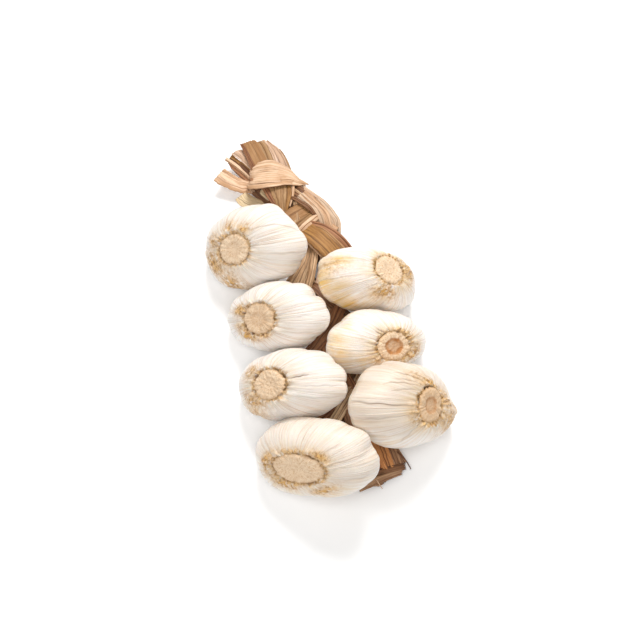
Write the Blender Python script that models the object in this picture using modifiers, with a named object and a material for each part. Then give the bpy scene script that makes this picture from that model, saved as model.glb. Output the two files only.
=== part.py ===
"""Garlic braid: seven garlic bulbs on a three-strand plait of dried stalks.

Frame: +X to the right, +Y along the braid toward its wrapped top, +Z up, and
the braid lies on the plane z = 0. Lengths below are millimetres, angles degrees.
"""
import math

import bmesh
import bpy
from mathutils import Vector

MM = 0.001
PART_NAME = "garlic_braid"
CENTRE = Vector((-2.3, 2.7, 0.0))      # moves the whole braid onto its own bounding box centre

# ---- bulbs -----------------------------------------------------------------
BULB_SIDES = 32
BULB_RINGS = 12
TABLE_SIZE = (300.0, 400.0, 20.0)
FLAT_DEPTH = 0.7                      # how far each bulb is pressed flat where it rests
NARROW_HEADING = 73.0                 # the bulbs are squeezed along this direction
NARROW_LIFT = 26.0
PLATE_SHARE = 0.34                    # root plate's share of the bulb's width
PLATE_DIMPLE = 1.0
ROOT_FULLNESS = 2.4                   # 2 is an ellipse, more is boxier
SHOULDER_ROUND = 0.55                 # rest of the shoulder is bell-shaped
CLOVES = 8
CLOVE_DEPTH = 0.035
NECK_RADIUS = 4.5

# node: (centre x, y), (root heading, root lift, roll about the root axis),
#       (half width, half squeezed width), (root height, shoulder height, neck length)
BULBS = {
    "bulb_left_1": ((-18.3, 33.2), (197, 37, 7), (32.6, 20.6), (19, 17, 3)),
    "bulb_left_2": ((-18.5, -7.4), (195, 38, 5), (31.8, 17.5), (17, 16, 3)),
    "bulb_left_3": ((-21.7, -45.7), (186, 42, 5), (32.8, 17.0), (20, 16, 3)),
    "bulb_left_4": ((-22.1, -84.7), (209, 33, 0), (33.8, 18.8), (18, 17, 3)),
    "bulb_right_1": ((27.0, -0.6), (336, 46, -8), (30.9, 16.4), (19, 16, 3)),
    "bulb_right_2": ((22.0, -33.8), (305, 39, -4), (29.8, 15.8), (16, 16, 3)),
    "bulb_right_3": ((21.3, -71.5), (321, 37, -4), (33.5, 20.0), (22, 18, 3)),
}

# ---- plait -----------------------------------------------------------------
PLAIT_TOP_Y = 67.2
PLAIT_END_Y = -82.0
PLAIT_STEPS = 48
PLAIT_PITCH = 96.0                    # length of one strand's full swing
PLAIT_PHASE = 165.0                   # swing of the first strand at y = 0
PLAIT_X = 3.5
PLAIT_BOW = 9.0                       # sideways bow of the open plait near the top
PLAIT_BOW_Y = 42.5
PLAIT_BOW_LENGTH = 23.0
PLAIT_REST = 0.3
STRAND_SIDES = 10
# swing across, swing up, strand half width, strand half thickness
OPEN_PLAIT = (9.0, 4.8, 4.4, 2.3)
TIGHT_PLAIT = (5.4, 3.0, 2.6, 1.4)
WRAPPED_PLAIT = (7.0, 3.8, 3.4, 2.0)
OPENING_Y = (24.0, 44.0)
WRAPPING_Y = (52.0, 67.0)
WRAPPED_LIFT = 2.2
STRANDS = ("strand_a", "strand_b", "strand_c")

# ---- wrapped leaf ----------------------------------------------------------
BAND_CENTRE = Vector((4.4, 75.6, 9.5))
BAND_WIDTH = 29.6
BAND_HEIGHT = 18.4
BAND_LENGTH = 12.0
BAND_SIDES = 32
BAND_EDGE = 1.2

# ---- flat leaves and stalk ends ---------------------------------------------
LEAF_STEPS = 6
LEAF_SIDES = 8
# node: start, end, (start width, end width), thickness, sag in the middle
LEAVES = {
    "stalk_end_centre": ((-2.6, 82.5, 12.9), (-4.6, 102.5, 11.0), (8.2, 9.6), 2.2, 0.4),
    "stalk_end_inner": ((3.2, 82.3, 9.6), (1.5, 102.0, 8.0), (4.0, 4.6), 1.6, 0.3),
    "stalk_end_right": ((8.4, 82.3, 9.2), (9.4, 100.2, 7.6), (5.0, 8.4), 1.4, 0.2),
    "leaf_end_left_1": ((-5.2, 82.9, 8.6), (-12.0, 100.0, 7.6), (4.0, 5.6), 1.2, 0.2),
    "leaf_end_left_2": ((-7.2, 83.2, 6.8), (-16.5, 98.4, 6.0), (3.4, 4.4), 1.3, 0.2),
    "leaf_end_left_3": ((-9.0, 83.6, 4.9), (-19.8, 95.4, 4.4), (3.0, 3.8), 1.0, 0.0),
    "leaf_end_left_4": ((-13.4, 77.4, 4.6), (-24.8, 89.2, 8.6), (4.6, 9.4), 1.1, -0.6),
    "leaf_stub_left": ((-8.6, 64.4, 4.0), (-17.2, 72.0, 5.6), (7.0, 6.6), 1.1, -0.3),
    "tail_end_1": ((9.6, -84.6, 4.6), (19.0, -93.4, 3.6), (7.5, 9.0), 2.4, 0.0),
    "tail_end_2": ((3.0, -86.3, 3.2), (11.5, -98.4, 2.4), (6.0, 7.2), 2.0, 0.0),
    "tail_end_3": ((-2.4, -87.6, 3.0), (2.2, -100.4, 2.0), (4.0, 4.4), 1.4, 0.0),
}

# ---- colours ---------------------------------------------------------------
GARLIC_SKIN = ((0.90, 0.82, 0.68), 0.5)
PALE_LEAF = ((0.76, 0.55, 0.34), 0.7)
TAN_LEAF = ((0.52, 0.33, 0.16), 0.7)
BROWN_LEAF = ((0.30, 0.15, 0.07), 0.75)


def heading_vector(heading, lift):
    """Unit vector at a heading from +X in the XY plane, lifted toward +Z."""
    turn, rise = math.radians(heading), math.radians(lift)
    flat = math.cos(rise)
    return Vector((math.cos(turn) * flat, math.sin(turn) * flat, math.sin(rise)))


def smooth_step(low, high, value):
    share = min(max((value - low) / (high - low), 0.0), 1.0)
    return share * share * (3.0 - 2.0 * share)


def mix(first, second, share):
    return [a + (b - a) * share for a, b in zip(first, second)]


def clear_scene():
    for obj in list(bpy.data.objects):
        bpy.data.objects.remove(obj, do_unlink=True)


def make_collection(name):
    collection = bpy.data.collections.new(name)
    bpy.context.scene.collection.children.link(collection)
    return collection


def make_material(name, look):
    colour, roughness = look
    material = bpy.data.materials.new(name)
    material.use_nodes = True
    shader = material.node_tree.nodes["Principled BSDF"]
    shader.inputs["Base Color"].default_value = (*colour, 1.0)
    shader.inputs["Roughness"].default_value = roughness
    shader.inputs["Metallic"].default_value = 0.0
    return material


def add_object(name, mesh_builder, material, collection, parent):
    """Put a bmesh into the scene as one smooth-shaded object."""
    bmesh.ops.recalc_face_normals(mesh_builder, faces=mesh_builder.faces)
    mesh = bpy.data.meshes.new(name)
    mesh_builder.to_mesh(mesh)
    mesh_builder.free()
    mesh.shade_smooth()
    mesh.set_sharp_from_angle(angle=math.radians(40.0))
    mesh.materials.append(material)
    obj = bpy.data.objects.new(name, mesh)
    obj.parent = parent
    collection.objects.link(obj)
    return obj


# ---- bulbs -----------------------------------------------------------------
def bulb_profile(share, root_height, shoulder, neck):
    """Spread (0 to 1) and height along the root axis, from root plate to neck end."""
    if share < 0.1:
        return PLATE_SHARE * share / 0.1, root_height * 0.96 - PLATE_DIMPLE
    if share < 0.5:
        first = math.asin(PLATE_SHARE ** (ROOT_FULLNESS / 2.0))
        angle = first + (math.pi / 2.0 - first) * (share - 0.1) / 0.4
        spread = math.sin(angle) ** (2.0 / ROOT_FULLNESS)
        return spread, root_height * max(math.cos(angle), 0.0) ** (2.0 / ROOT_FULLNESS)
    down = (share - 0.5) / 0.5 * (shoulder + neck)
    reach = min(down / shoulder, 1.0)
    rounded = math.sqrt(1.0 - reach * reach)
    bell = 0.5 * (1.0 + math.cos(math.pi * reach))
    return SHOULDER_ROUND * rounded + (1.0 - SHOULDER_ROUND) * bell, -down


def clove_swell(angle, spread):
    """Cloves stand out between grooves, most where the bulb is widest."""
    ridge = abs(math.sin(CLOVES * angle / 2.0)) ** 0.7
    return 1.0 + CLOVE_DEPTH * (ridge - 0.6) * smooth_step(0.4, 0.9, spread)


def bulb_axes(heading, lift, roll):
    """Unit vectors across the wide way, the squeezed way and out through the root."""
    root = heading_vector(heading, lift)
    narrow = heading_vector(NARROW_HEADING, NARROW_LIFT)
    narrow = (narrow - root * narrow.dot(root)).normalized()
    wide = narrow.cross(root)
    cos_roll, sin_roll = math.cos(math.radians(roll)), math.sin(math.radians(roll))
    return wide * cos_roll + narrow * sin_roll, narrow * cos_roll - wide * sin_roll, root


def make_bulb(name, row, material, collection, parent, table):
    (x, y), turns, (half_width, half_narrow), (root_height, shoulder, neck) = row
    wide, narrow, root = bulb_axes(*turns)
    shape = bmesh.new()
    bmesh.ops.create_uvsphere(shape, u_segments=BULB_SIDES, v_segments=BULB_RINGS, radius=1.0)
    for vert in shape.verts:
        share = math.acos(min(max(vert.co.z, -1.0), 1.0)) / math.pi
        angle = math.atan2(vert.co.y, vert.co.x)
        spread, height = bulb_profile(share, root_height, shoulder, neck)
        base = NECK_RADIUS if height < 0.0 else 0.0
        if share > 0.999:
            base, spread = 0.0, 0.0
        swell = clove_swell(angle, spread)
        across = (base + (half_width - base) * spread) * swell * math.cos(angle)
        along = (base + (half_narrow - base) * spread) * swell * math.sin(angle)
        vert.co = (wide * across + narrow * along + root * height) * MM
    lowest = min(vert.co.z for vert in shape.verts)
    obj = add_object(name, shape, material, collection, parent)
    obj.location = Vector((x * MM, y * MM, -lowest - FLAT_DEPTH * MM))
    press = obj.modifiers.new("rests_flat", "BOOLEAN")
    press.operation = "DIFFERENCE"
    press.solver = "EXACT"
    press.object = table
    return obj


def make_table_cutter(collection, parent):
    """Block whose top face is the plane the braid lies on."""
    shape = bmesh.new()
    bmesh.ops.create_cube(shape, size=1.0)
    bmesh.ops.scale(shape, vec=Vector(TABLE_SIZE) * MM, verts=shape.verts)
    mesh = bpy.data.meshes.new("table_cutter")
    shape.to_mesh(mesh)
    shape.free()
    table = bpy.data.objects.new("table_cutter", mesh)
    table.location = (0.0, 0.0, -TABLE_SIZE[2] * MM / 2.0)
    collection.objects.link(table)
    table.parent = parent
    table.hide_render = True
    table.display_type = "WIRE"
    return table


# ---- lofted strands and leaves -----------------------------------------------
def section(centre, side, lift, half_width, half_height, count):
    """Flattened round section, from its centre and two unit directions."""
    points = []
    for step in range(count):
        angle = 2.0 * math.pi * (step + 0.5) / count
        across = math.copysign(abs(math.cos(angle)) ** 0.8, math.cos(angle))
        up = math.copysign(abs(math.sin(angle)) ** 0.8, math.sin(angle))
        points.append(centre + side * (across * half_width) + lift * (up * half_height))
    return points


def loft(sections):
    """Closed skin over a row of sections, with flat ends."""
    shape = bmesh.new()
    rings = [[shape.verts.new(point * MM) for point in ring] for ring in sections]
    for first, second in zip(rings, rings[1:]):
        for index, vert in enumerate(first):
            after = (index + 1) % len(first)
            shape.faces.new((vert, first[after], second[after], second[index]))
    shape.faces.new(list(reversed(rings[0])))
    shape.faces.new(rings[-1])
    return shape


def plait_sizes(y):
    opened = mix(TIGHT_PLAIT, OPEN_PLAIT, smooth_step(*OPENING_Y, y))
    return mix(opened, WRAPPED_PLAIT, smooth_step(*WRAPPING_Y, y))


def strand_centre(y, index):
    swing_across, swing_up, _, half_thickness = plait_sizes(y)
    phase = math.radians(PLAIT_PHASE - 360.0 * y / PLAIT_PITCH + 120.0 * index)
    bow = PLAIT_BOW * math.exp(-((y - PLAIT_BOW_Y) / PLAIT_BOW_LENGTH) ** 2)
    lift = WRAPPED_LIFT * smooth_step(*WRAPPING_Y, y)
    middle = swing_up + half_thickness + PLAIT_REST + lift
    x = PLAIT_X + bow + swing_across * math.sin(phase)
    return Vector((x, y, middle + swing_up * math.sin(2.0 * phase)))


def make_strand(name, index, material, collection, parent):
    sections = []
    for step in range(PLAIT_STEPS + 1):
        y = PLAIT_TOP_Y + (PLAIT_END_Y - PLAIT_TOP_Y) * step / PLAIT_STEPS
        along = strand_centre(y - 0.5, index) - strand_centre(y + 0.5, index)
        side = Vector((-along.y, along.x, 0.0)).normalized()
        lift = along.cross(side).normalized()
        if lift.z < 0.0:
            lift.negate()
        _, _, half_width, half_thickness = plait_sizes(y)
        centre = strand_centre(y, index)
        sections.append(section(centre, side, lift, half_width, half_thickness, STRAND_SIDES))
    return add_object(name, loft(sections), material, collection, parent)


def make_leaf(name, row, material, collection, parent):
    """Flat leaf or stalk end, widening from start to end, with a slight sag."""
    start, end, (start_width, end_width), thickness, sag = row
    start, end = Vector(start), Vector(end)
    along = (end - start).normalized()
    side = Vector((-along.y, along.x, 0.0)).normalized()
    lift = side.cross(along)
    if lift.z < 0.0:
        lift.negate()
    sections = []
    for step in range(LEAF_STEPS + 1):
        share = step / LEAF_STEPS
        centre = start.lerp(end, share) + lift * (sag * math.sin(math.pi * share))
        half_width = 0.5 * (start_width + (end_width - start_width) * share)
        sections.append(section(centre, side, lift, half_width, thickness / 2.0, LEAF_SIDES))
    return add_object(name, loft(sections), material, collection, parent)


def make_band(name, material, collection, parent):
    """Broad leaf wound tightly round the top of the plait: a flattened barrel."""
    shape = bmesh.new()
    bmesh.ops.create_cone(shape, cap_ends=True, segments=BAND_SIDES, radius1=0.5, radius2=0.5,
                          depth=1.0)
    for vert in shape.verts:
        across, up, along = vert.co
        vert.co = Vector((across * BAND_WIDTH, -along * BAND_LENGTH, up * BAND_HEIGHT)) * MM
    obj = add_object(name, shape, material, collection, parent)
    obj.location = BAND_CENTRE * MM
    edge = obj.modifiers.new("soft_edge", "BEVEL")
    edge.width = BAND_EDGE * MM
    edge.segments = 2
    return obj


def main():
    clear_scene()
    parts = make_collection(PART_NAME)
    cutters = make_collection("cutters")
    frame = bpy.data.objects.new(PART_NAME, None)
    frame.location = CENTRE * MM
    parts.objects.link(frame)
    skin = make_material("garlic_skin", GARLIC_SKIN)
    pale = make_material("pale_leaf", PALE_LEAF)
    tan = make_material("tan_leaf", TAN_LEAF)
    brown = make_material("brown_leaf", BROWN_LEAF)
    table = make_table_cutter(cutters, frame)
    for name, row in BULBS.items():
        make_bulb(name, row, skin, parts, frame, table)
    for index, name in enumerate(STRANDS):
        make_strand(name, index, tan, parts, frame)
    make_band("wrap_band", pale, parts, frame)
    for name, row in LEAVES.items():
        leaf_material = brown if name.startswith("tail") else pale if "leaf" in name else tan
        make_leaf(name, row, leaf_material, parts, frame)


main()
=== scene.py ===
"""Looks of the garlic braid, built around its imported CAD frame.

Lengths are millimetres in the frame's own axes until a mesh is made: +X right,
+Y along the braid toward its wrapped top, +Z up from the surface it lies on.
"""
import math

import bmesh
import bpy
import numpy as np
from mathutils import Matrix, Vector


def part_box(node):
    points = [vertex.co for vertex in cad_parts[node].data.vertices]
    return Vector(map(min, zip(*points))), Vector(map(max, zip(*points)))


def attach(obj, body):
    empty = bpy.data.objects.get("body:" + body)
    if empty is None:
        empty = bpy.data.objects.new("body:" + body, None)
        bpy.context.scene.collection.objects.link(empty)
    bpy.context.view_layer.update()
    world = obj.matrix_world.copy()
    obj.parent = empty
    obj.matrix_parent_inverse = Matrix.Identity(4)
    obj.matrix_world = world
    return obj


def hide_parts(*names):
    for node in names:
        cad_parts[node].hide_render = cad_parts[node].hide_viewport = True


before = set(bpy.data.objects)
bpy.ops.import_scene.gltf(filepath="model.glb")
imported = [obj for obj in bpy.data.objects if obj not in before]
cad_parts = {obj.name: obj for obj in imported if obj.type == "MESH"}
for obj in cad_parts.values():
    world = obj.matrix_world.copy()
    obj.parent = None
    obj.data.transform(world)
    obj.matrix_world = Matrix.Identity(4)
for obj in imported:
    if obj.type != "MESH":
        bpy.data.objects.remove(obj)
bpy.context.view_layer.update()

MM = 0.001
TURN = 2.0 * math.pi
SEED = 7

# ---- camera ------------------------------------------------------------------
VIEW_AZIMUTH = -17.0
VIEW_HEIGHT = 64.0
LENS = 85.0
SENSOR = 36.0
VIEW_WIDTH = 320.0                    # width of the view at the target
TARGET = (-2.3, -11.8, 20.0)

# ---- bulbs -------------------------------------------------------------------
ROUND_STEPS = 288
LONG_STEPS = 104
NARROW_HEADING = 73.0
NARROW_LIFT = 26.0
PLATE_SHARE = 0.34
ROOT_FULLNESS = 2.4
SHOULDER_ROUND = 0.55
NECK_RADIUS = 4.5
WIDEST = 0.45                         # share of the way from root plate to neck at the widest line
FLOOR_SINK = 0.7                      # flattened underside where a bulb rests on the floor
RIM_DEPTH = (0.5, 1.3)                # dip of the skin beside the root plate, and more where it gapes
PLATE_LEVEL = 0.965                   # height of the root plate as a share of the root height
FLAKE_THICKNESS = 0.14

# node: root heading, root lift, roll; half width, half squeezed width, boxiness;
#       root height, shoulder height, neck length; half sizes of the root plate
BULBS = {
    "bulb_left_1": ((197, 37, 7), (32.6, 20.6, 2.15), (19, 17, 3), (10.6, 7.6)),
    "bulb_left_2": ((195, 38, 5), (31.8, 17.5, 2.15), (17, 16, 3), (10.8, 7.8)),
    "bulb_left_3": ((186, 42, 5), (32.8, 17.0, 2.2), (20, 16, 3), (10.6, 7.4)),
    "bulb_left_4": ((209, 33, 0), (33.8, 18.8, 2.3), (18, 17, 3), (15.6, 7.4)),
    "bulb_right_1": ((336, 46, -8), (30.9, 16.4, 2.15), (19, 16, 3), (9.8, 7.2)),
    "bulb_right_2": ((305, 39, -4), (29.8, 15.8, 2.2), (16, 16, 3), (10.6, 7.2)),
    "bulb_right_3": ((321, 37, -4), (33.5, 20.0, 2.2), (22, 18, 3), (9.4, 8.8)),
}

# Angles go round the root axis in degrees; shares run from the root plate (0) past
# the widest line (0.45) to the neck (1).
# node: swellings and dents as (angle, share, mm, angle spread, share spread)
LUMPS = {
    "bulb_left_1": ((28, 0.52, -4.2, 26, 0.16), (240, 0.34, 2.4, 28, 0.18), (165, 0.15, -1.2, 16, 0.12)),
    "bulb_left_2": ((28, 0.5, -4, 24, 0.15), (165, 0.2, 0.8, 14, 0.1)),
    "bulb_left_3": ((30, 0.5, -1.8, 28, 0.15), (235, 0.3, 1.6, 25, 0.18)),
    "bulb_left_4": ((225, 0.25, 1.2, 25, 0.15), (19, 0.48, -2, 8, 0.12), (3, 0.5, 1.3, 8, 0.14),
        (36, 0.48, 1, 9, 0.14)),
    "bulb_right_1": ((132, 0.33, -3, 34, 0.2), (80, 0.25, -1.4, 28, 0.18), (226, 0.58, 3.4, 28, 0.18),
        (310, 0.3, 2.2, 28, 0.15)),
    "bulb_right_2": ((150, 0.5, -3, 26, 0.15), (320, 0.25, -2.2, 24, 0.15), (232, 0.52, 3.2, 20, 0.16)),
    "bulb_right_3": ((52, 0.16, -3.4, 30, 0.16), (145, 0.46, -2, 22, 0.16), (162, 0.55, -2.2, 14, 0.14),
        (353, 0.24, 1.6, 8, 0.09), (18, 0.22, -2, 16, 0.14), (265, 0.38, 1.6, 26, 0.16)),
}

# node: torn outer skin as (from angle, to angle, near share, far share, lift in mm)
TORN = {
    "bulb_left_1": ((140, 285, 0.03, 0.2, 1.2), (75, 128, 0.01, 0.13, 0.8), (35, 78, 0, 0.07, 0.6),
        (212, 264, 0.17, 0.36, 1.1), (285, 395, 0, 0.045, 0.5)),
    "bulb_left_2": ((122, 168, 0, 0.12, 0.9), (188, 305, 0.015, 0.11, 0.9), (58, 125, 0, 0.06, 0.6),
        (300, 420, 0, 0.035, 0.5)),
    "bulb_left_3": ((118, 166, 0.015, 0.13, 0.9), (192, 258, 0.015, 0.12, 0.9), (255, 400, 0, 0.045, 0.4),
        (20, 112, 0, 0.045, 0.5), (212, 266, 0.24, 0.42, 1.2)),
    "bulb_left_4": ((40, 132, 0, 0.07, 0.7), (130, 218, 0.01, 0.12, 1), (214, 330, 0.015, 0.13, 0.9),
        (330, 402, 0, 0.07, 0.7), (284, 322, 0.12, 0.28, 0.7)),
    "bulb_right_1": ((328, 425, 0.015, 0.12, 1.1), (58, 132, 0, 0.05, 0.8), (232, 286, 0.04, 0.22, 0.7),
        (290, 330, 0.01, 0.09, 0.6), (130, 230, 0, 0.03, 0.3)),
    "bulb_right_2": ((328, 388, 0.015, 0.1, 0.8), (282, 332, 0, 0.07, 0.6), (90, 152, 0, 0.045, 0.5),
        (178, 262, 0, 0.04, 0.4), (24, 92, 0, 0.045, 0.5)),
    "bulb_right_3": ((328, 422, 0.015, 0.16, 1.3), (58, 142, 0, 0.1, 1), (288, 336, 0.015, 0.14, 0.9),
        (198, 290, 0, 0.06, 0.6), (92, 128, 0.07, 0.24, 0.8)),
}

# node: gaps beside the root plate, sunk and darkened with painted shade, as (middle angle, half width,
# strength)
GAPS = {
    "bulb_left_1": ((60, 30, 0.5), (200, 60, 0.5)),
    "bulb_left_2": ((145, 24, 1), (245, 55, 0.9), (60, 40, 0.5)),
    "bulb_left_3": ((70, 60, 0.7), (140, 24, 0.8), (225, 30, 0.6), (330, 60, 0.5)),
    "bulb_left_4": ((95, 45, 0.9), (170, 50, 0.8), (265, 45, 0.6), (20, 40, 0.5)),
    "bulb_right_1": ((85, 30, 1), (15, 40, 0.7), (280, 20, 0.5)),
    "bulb_right_2": ((80, 50, 0.65), (345, 40, 0.6), (150, 50, 0.4)),
    "bulb_right_3": ((85, 35, 1), (20, 40, 0.8), (310, 40, 0.5), (180, 40, 0.5)),
}

# node: golden crust as (angle, share, angle spread, share spread, strength)
CRUSTS = {
    "bulb_left_1": ((205, 0.12, 36, 0.1, 1), (246, 0.24, 17, 0.17, 1), (152, 0.09, 20, 0.07, 0.9),
        (95, 0.06, 14, 0.07, 0.9), (55, 0.05, 16, 0.05, 0.8)),
    "bulb_left_2": ((146, 0.05, 20, 0.06, 1), (228, 0.05, 40, 0.05, 1), (285, 0.03, 20, 0.03, 0.7)),
    "bulb_left_3": ((140, 0.08, 20, 0.06, 0.9), (226, 0.08, 30, 0.07, 0.9), (238, 0.22, 18, 0.12, 0.6)),
    "bulb_left_4": ((172, 0.06, 40, 0.05, 1), (236, 0.05, 30, 0.05, 1), (300, 0.12, 22, 0.06, 0.9),
        (42, 0.05, 20, 0.05, 0.9), (95, 0.03, 30, 0.035, 0.8)),
    "bulb_right_1": ((14, 0.08, 40, 0.07, 1), (262, 0.12, 24, 0.1, 1), (178, 0.34, 20, 0.14, 0.45),
        (95, 0.03, 25, 0.03, 0.7)),
    "bulb_right_2": ((345, 0.06, 30, 0.05, 1), (290, 0.05, 30, 0.04, 0.8), (235, 0.06, 20, 0.05, 0.6),
        (70, 0.03, 40, 0.03, 0.7)),
    "bulb_right_3": ((20, 0.08, 36, 0.08, 1), (85, 0.06, 30, 0.06, 1), (330, 0.13, 28, 0.1, 1),
        (354, 0.26, 12, 0.12, 1), (110, 0.15, 20, 0.1, 0.4), (215, 0.04, 30, 0.04, 0.6)),
}

# node: golden stains of the skin, some of them painted shade, as (angle, share, angle spread, share spread,
# strength)
STAINS_AND_SHADE = {
    "bulb_left_1": ((262, 0.4, 24, 0.12, 0.7), (300, 0.5, 30, 0.14, 0.5)),
    "bulb_left_2": ((150, 0.2, 14, 0.12, 0.4), (300, 0.5, 30, 0.12, 0.4)),
    "bulb_left_3": ((232, 0.2, 26, 0.14, 0.8), (265, 0.45, 26, 0.12, 0.5)),
    "bulb_left_4": ((225, 0.14, 60, 0.1, 0.9), (300, 0.22, 30, 0.14, 1)),
    "bulb_right_1": ((194, 0.46, 34, 0.12, 1), (166, 0.28, 14, 0.12, 1), (246, 0.46, 28, 0.16, 1),
        (262, 0.18, 18, 0.12, 1), (214, 0.36, 10, 0.14, 0.7)),
    "bulb_right_2": ((196, 0.36, 34, 0.14, 1), (150, 0.3, 14, 0.12, 0.7), (236, 0.14, 28, 0.1, 0.9)),
    # the second patch of bulb_right_3 is painted shade on its lower side
    "bulb_right_3": ((5, 0.3, 26, 0.14, 0.9), (255, 0.46, 36, 0.14, 0.8)),
}

# node: thin lines of the skin, sunk as grooves and darkened with painted shade, as (angle at the root end, at
# the far end, from share, to share, strength)
LINES = {
    "bulb_left_1": ((42, 8, 0.02, 0.46, 0.55), (336, 338, 0.08, 0.5, 0.3), (312, 306, 0.05, 0.45, 0.25)),
    "bulb_left_2": ((352, 356, 0.02, 0.3, 0.35), (20, 14, 0.05, 0.5, 0.3), (318, 330, 0.06, 0.45, 0.25)),
    "bulb_left_3": ((13, 15, 0.02, 0.17, 1), (350, 352, 0.1, 0.45, 0.4), (325, 336, 0.1, 0.48, 0.3)),
    "bulb_left_4": ((48, 40, 0.05, 0.25, 0.3), (18, 14, 0.05, 0.5, 0.35), (338, 344, 0.06, 0.42, 0.3)),
    "bulb_right_1": ((172, 168, 0.1, 0.5, 0.35), (206, 196, 0.1, 0.6, 0.35), (252, 240, 0.1, 0.4, 0.3)),
    "bulb_right_2": ((126, 132, 0.02, 0.1, 0.9), (136, 139, 0.02, 0.09, 0.8), (110, 114, 0.01, 0.06, 0.7),
        (200, 196, 0.05, 0.45, 0.3)),
    "bulb_right_3": ((184, 180, 0.01, 0.5, 0.9), (236, 250, 0.02, 0.3, 0.35), (128, 150, 0.04, 0.28, 0.75),
        (108, 128, 0.05, 0.28, 0.8), (118, 139, 0.03, 0.24, 0.6), (98, 116, 0.05, 0.22, 0.6),
        (138, 160, 0.03, 0.2, 0.55), (205, 203, 0.05, 0.45, 0.35)),
}

# node: warmth of the skin; strength of its gold stains and painted gold shade; radius and strength of the
# root plate's inner ring; darkness of the plate; strength of the painted shade on the underside
TINTS = {
    "bulb_left_1": (0.02, 0.45, 0.5, 0.15, 0.0, 0.6),
    "bulb_left_2": (0.03, 0.40, 0.5, 0.20, 0.20, 0.3),
    "bulb_left_3": (0.07, 0.45, 0.5, 0.10, 0.10, 0.4),
    "bulb_left_4": (0.00, 0.45, 0.5, 0.00, 0.05, 1.0),
    "bulb_right_1": (0.16, 1.0, 0.5, 0.10, 0.0, 0.1),
    "bulb_right_2": (0.24, 0.85, 0.56, 0.85, 0.10, 0.1),
    "bulb_right_3": (0.05, 0.60, 0.48, 0.55, 0.44, 1.2),
}


# ---- small maths ---------------------------------------------------------------
def smooth_step(low, high, value):
    share = np.clip((np.asarray(value, float) - low) / (high - low), 0.0, 1.0)
    return share * share * (3.0 - 2.0 * share)


def heading_vector(heading, lift):
    turn, rise = math.radians(heading), math.radians(lift)
    flat = math.cos(rise)
    return np.array((math.cos(turn) * flat, math.sin(turn) * flat, math.sin(rise)))


def unit(vectors):
    vectors = np.asarray(vectors, float)
    length = np.linalg.norm(vectors, axis=-1, keepdims=True)
    return vectors / np.maximum(length, 1e-9)


def wave_noise(seed, points, scale, octaves=3):
    """Smooth pseudo-random field from -1 to 1, a sum of seeded plane waves."""
    draw = np.random.default_rng(seed)
    waves = 6
    total = np.zeros(points.shape[:-1])
    weight = 0.0
    for octave in range(octaves):
        strength = 0.6 ** octave
        for _ in range(waves):
            direction = unit(draw.normal(size=points.shape[-1]))
            phase = draw.uniform(0.0, TURN)
            stretch = draw.uniform(0.7, 1.4) * scale * 2.0 ** octave
            total += strength * np.sin(points @ direction * stretch + phase)
        weight += strength * waves ** 0.5
    return np.clip(total / weight, -1.0, 1.0)


def ring_noise(seed, angle, waves):
    """Seeded noise round a circle: the same at 0 and at a full turn."""
    draw = np.random.default_rng(seed)
    total = np.zeros_like(angle)
    for wave in range(1, waves + 1):
        total += draw.normal() / wave ** 0.5 * np.cos(wave * angle + draw.uniform(0, 6.28))
    return total / (0.5 * sum(1.0 / wave for wave in range(1, waves + 1))) ** 0.5


def offset_from(angle, centre):
    """Signed turn from centre to angle, at most half a turn."""
    return np.mod(angle - centre + math.pi, TURN) - math.pi


def patch(angle, share, heading, level, spread, reach):
    """Bell-shaped patch on a bulb: 1 at its middle, fading to 0."""
    offset = offset_from(angle, math.radians(heading))
    return np.exp(-(offset / math.radians(spread)) ** 2 - ((share - level) / reach) ** 2)


def round_coords(angle, third):
    """Texture coordinates that meet after a full turn."""
    return np.stack([np.cos(angle), np.sin(angle), third], -1)


def spline(points, count):
    """Even samples of a Catmull-Rom curve through the points."""
    points = np.asarray(points, float)
    padded = np.vstack([2 * points[0] - points[1], points, 2 * points[-1] - points[-2]])
    spots = np.linspace(0.0, len(points) - 1.0, count)
    first = np.minimum(spots.astype(int), len(points) - 2)
    t = (spots - first)[:, None]
    p0, p1, p2, p3 = (padded[first + shift] for shift in range(4))
    return 0.5 * (2 * p1 + (p2 - p0) * t + (2 * p0 - 5 * p1 + 4 * p2 - p3) * t ** 2
                  + (3 * p1 - p0 - 3 * p2 + p3) * t ** 3)


# ---- meshes --------------------------------------------------------------------
def face_outward(mesh):
    """Turn the faces of a closed mesh to look outward."""
    shape = bmesh.new()
    shape.from_mesh(mesh)
    bmesh.ops.recalc_face_normals(shape, faces=shape.faces)
    shape.to_mesh(mesh)
    shape.free()


def add_mesh(name, points, faces, material, attributes=None, closed=True):
    mesh = bpy.data.meshes.new(name)
    mesh.from_pydata((np.asarray(points) * MM).tolist(), [], [list(f) for f in faces])
    mesh.validate()
    if closed:
        face_outward(mesh)
    mesh.shade_smooth()
    for key, values in (attributes or {}).items():
        values = np.asarray(values, dtype=np.float32)
        if values.ndim == 2:
            layer = mesh.attributes.new(key, "FLOAT_VECTOR", "POINT")
            layer.data.foreach_set("vector", values.ravel())
        else:
            layer = mesh.attributes.new(key, "FLOAT", "POINT")
            layer.data.foreach_set("value", values)
    mesh.materials.append(material)
    piece = bpy.data.objects.new(name, mesh)
    bpy.context.scene.collection.objects.link(piece)
    return piece


def grid_faces(rows, columns, closed):
    """Quads of a grid of points, row by row; closed joins each row's ends."""
    faces = []
    last = columns if closed else columns - 1
    for row in range(rows - 1):
        for column in range(last):
            after = (column + 1) % columns
            low, high = row * columns, (row + 1) * columns
            faces.append((low + column, low + after, high + after, high + column))
    return faces


def tube_faces(rings, count):
    """Faces of a flattened tube: its sides, and quads across its two ends."""
    faces = grid_faces(rings, count, True)
    for start in (0, (rings - 1) * count):
        for j in range(count // 2 - 1):
            faces.append((start + j, start + j + 1, start + count - 2 - j, start + count - 1 - j))
    return faces


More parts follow.
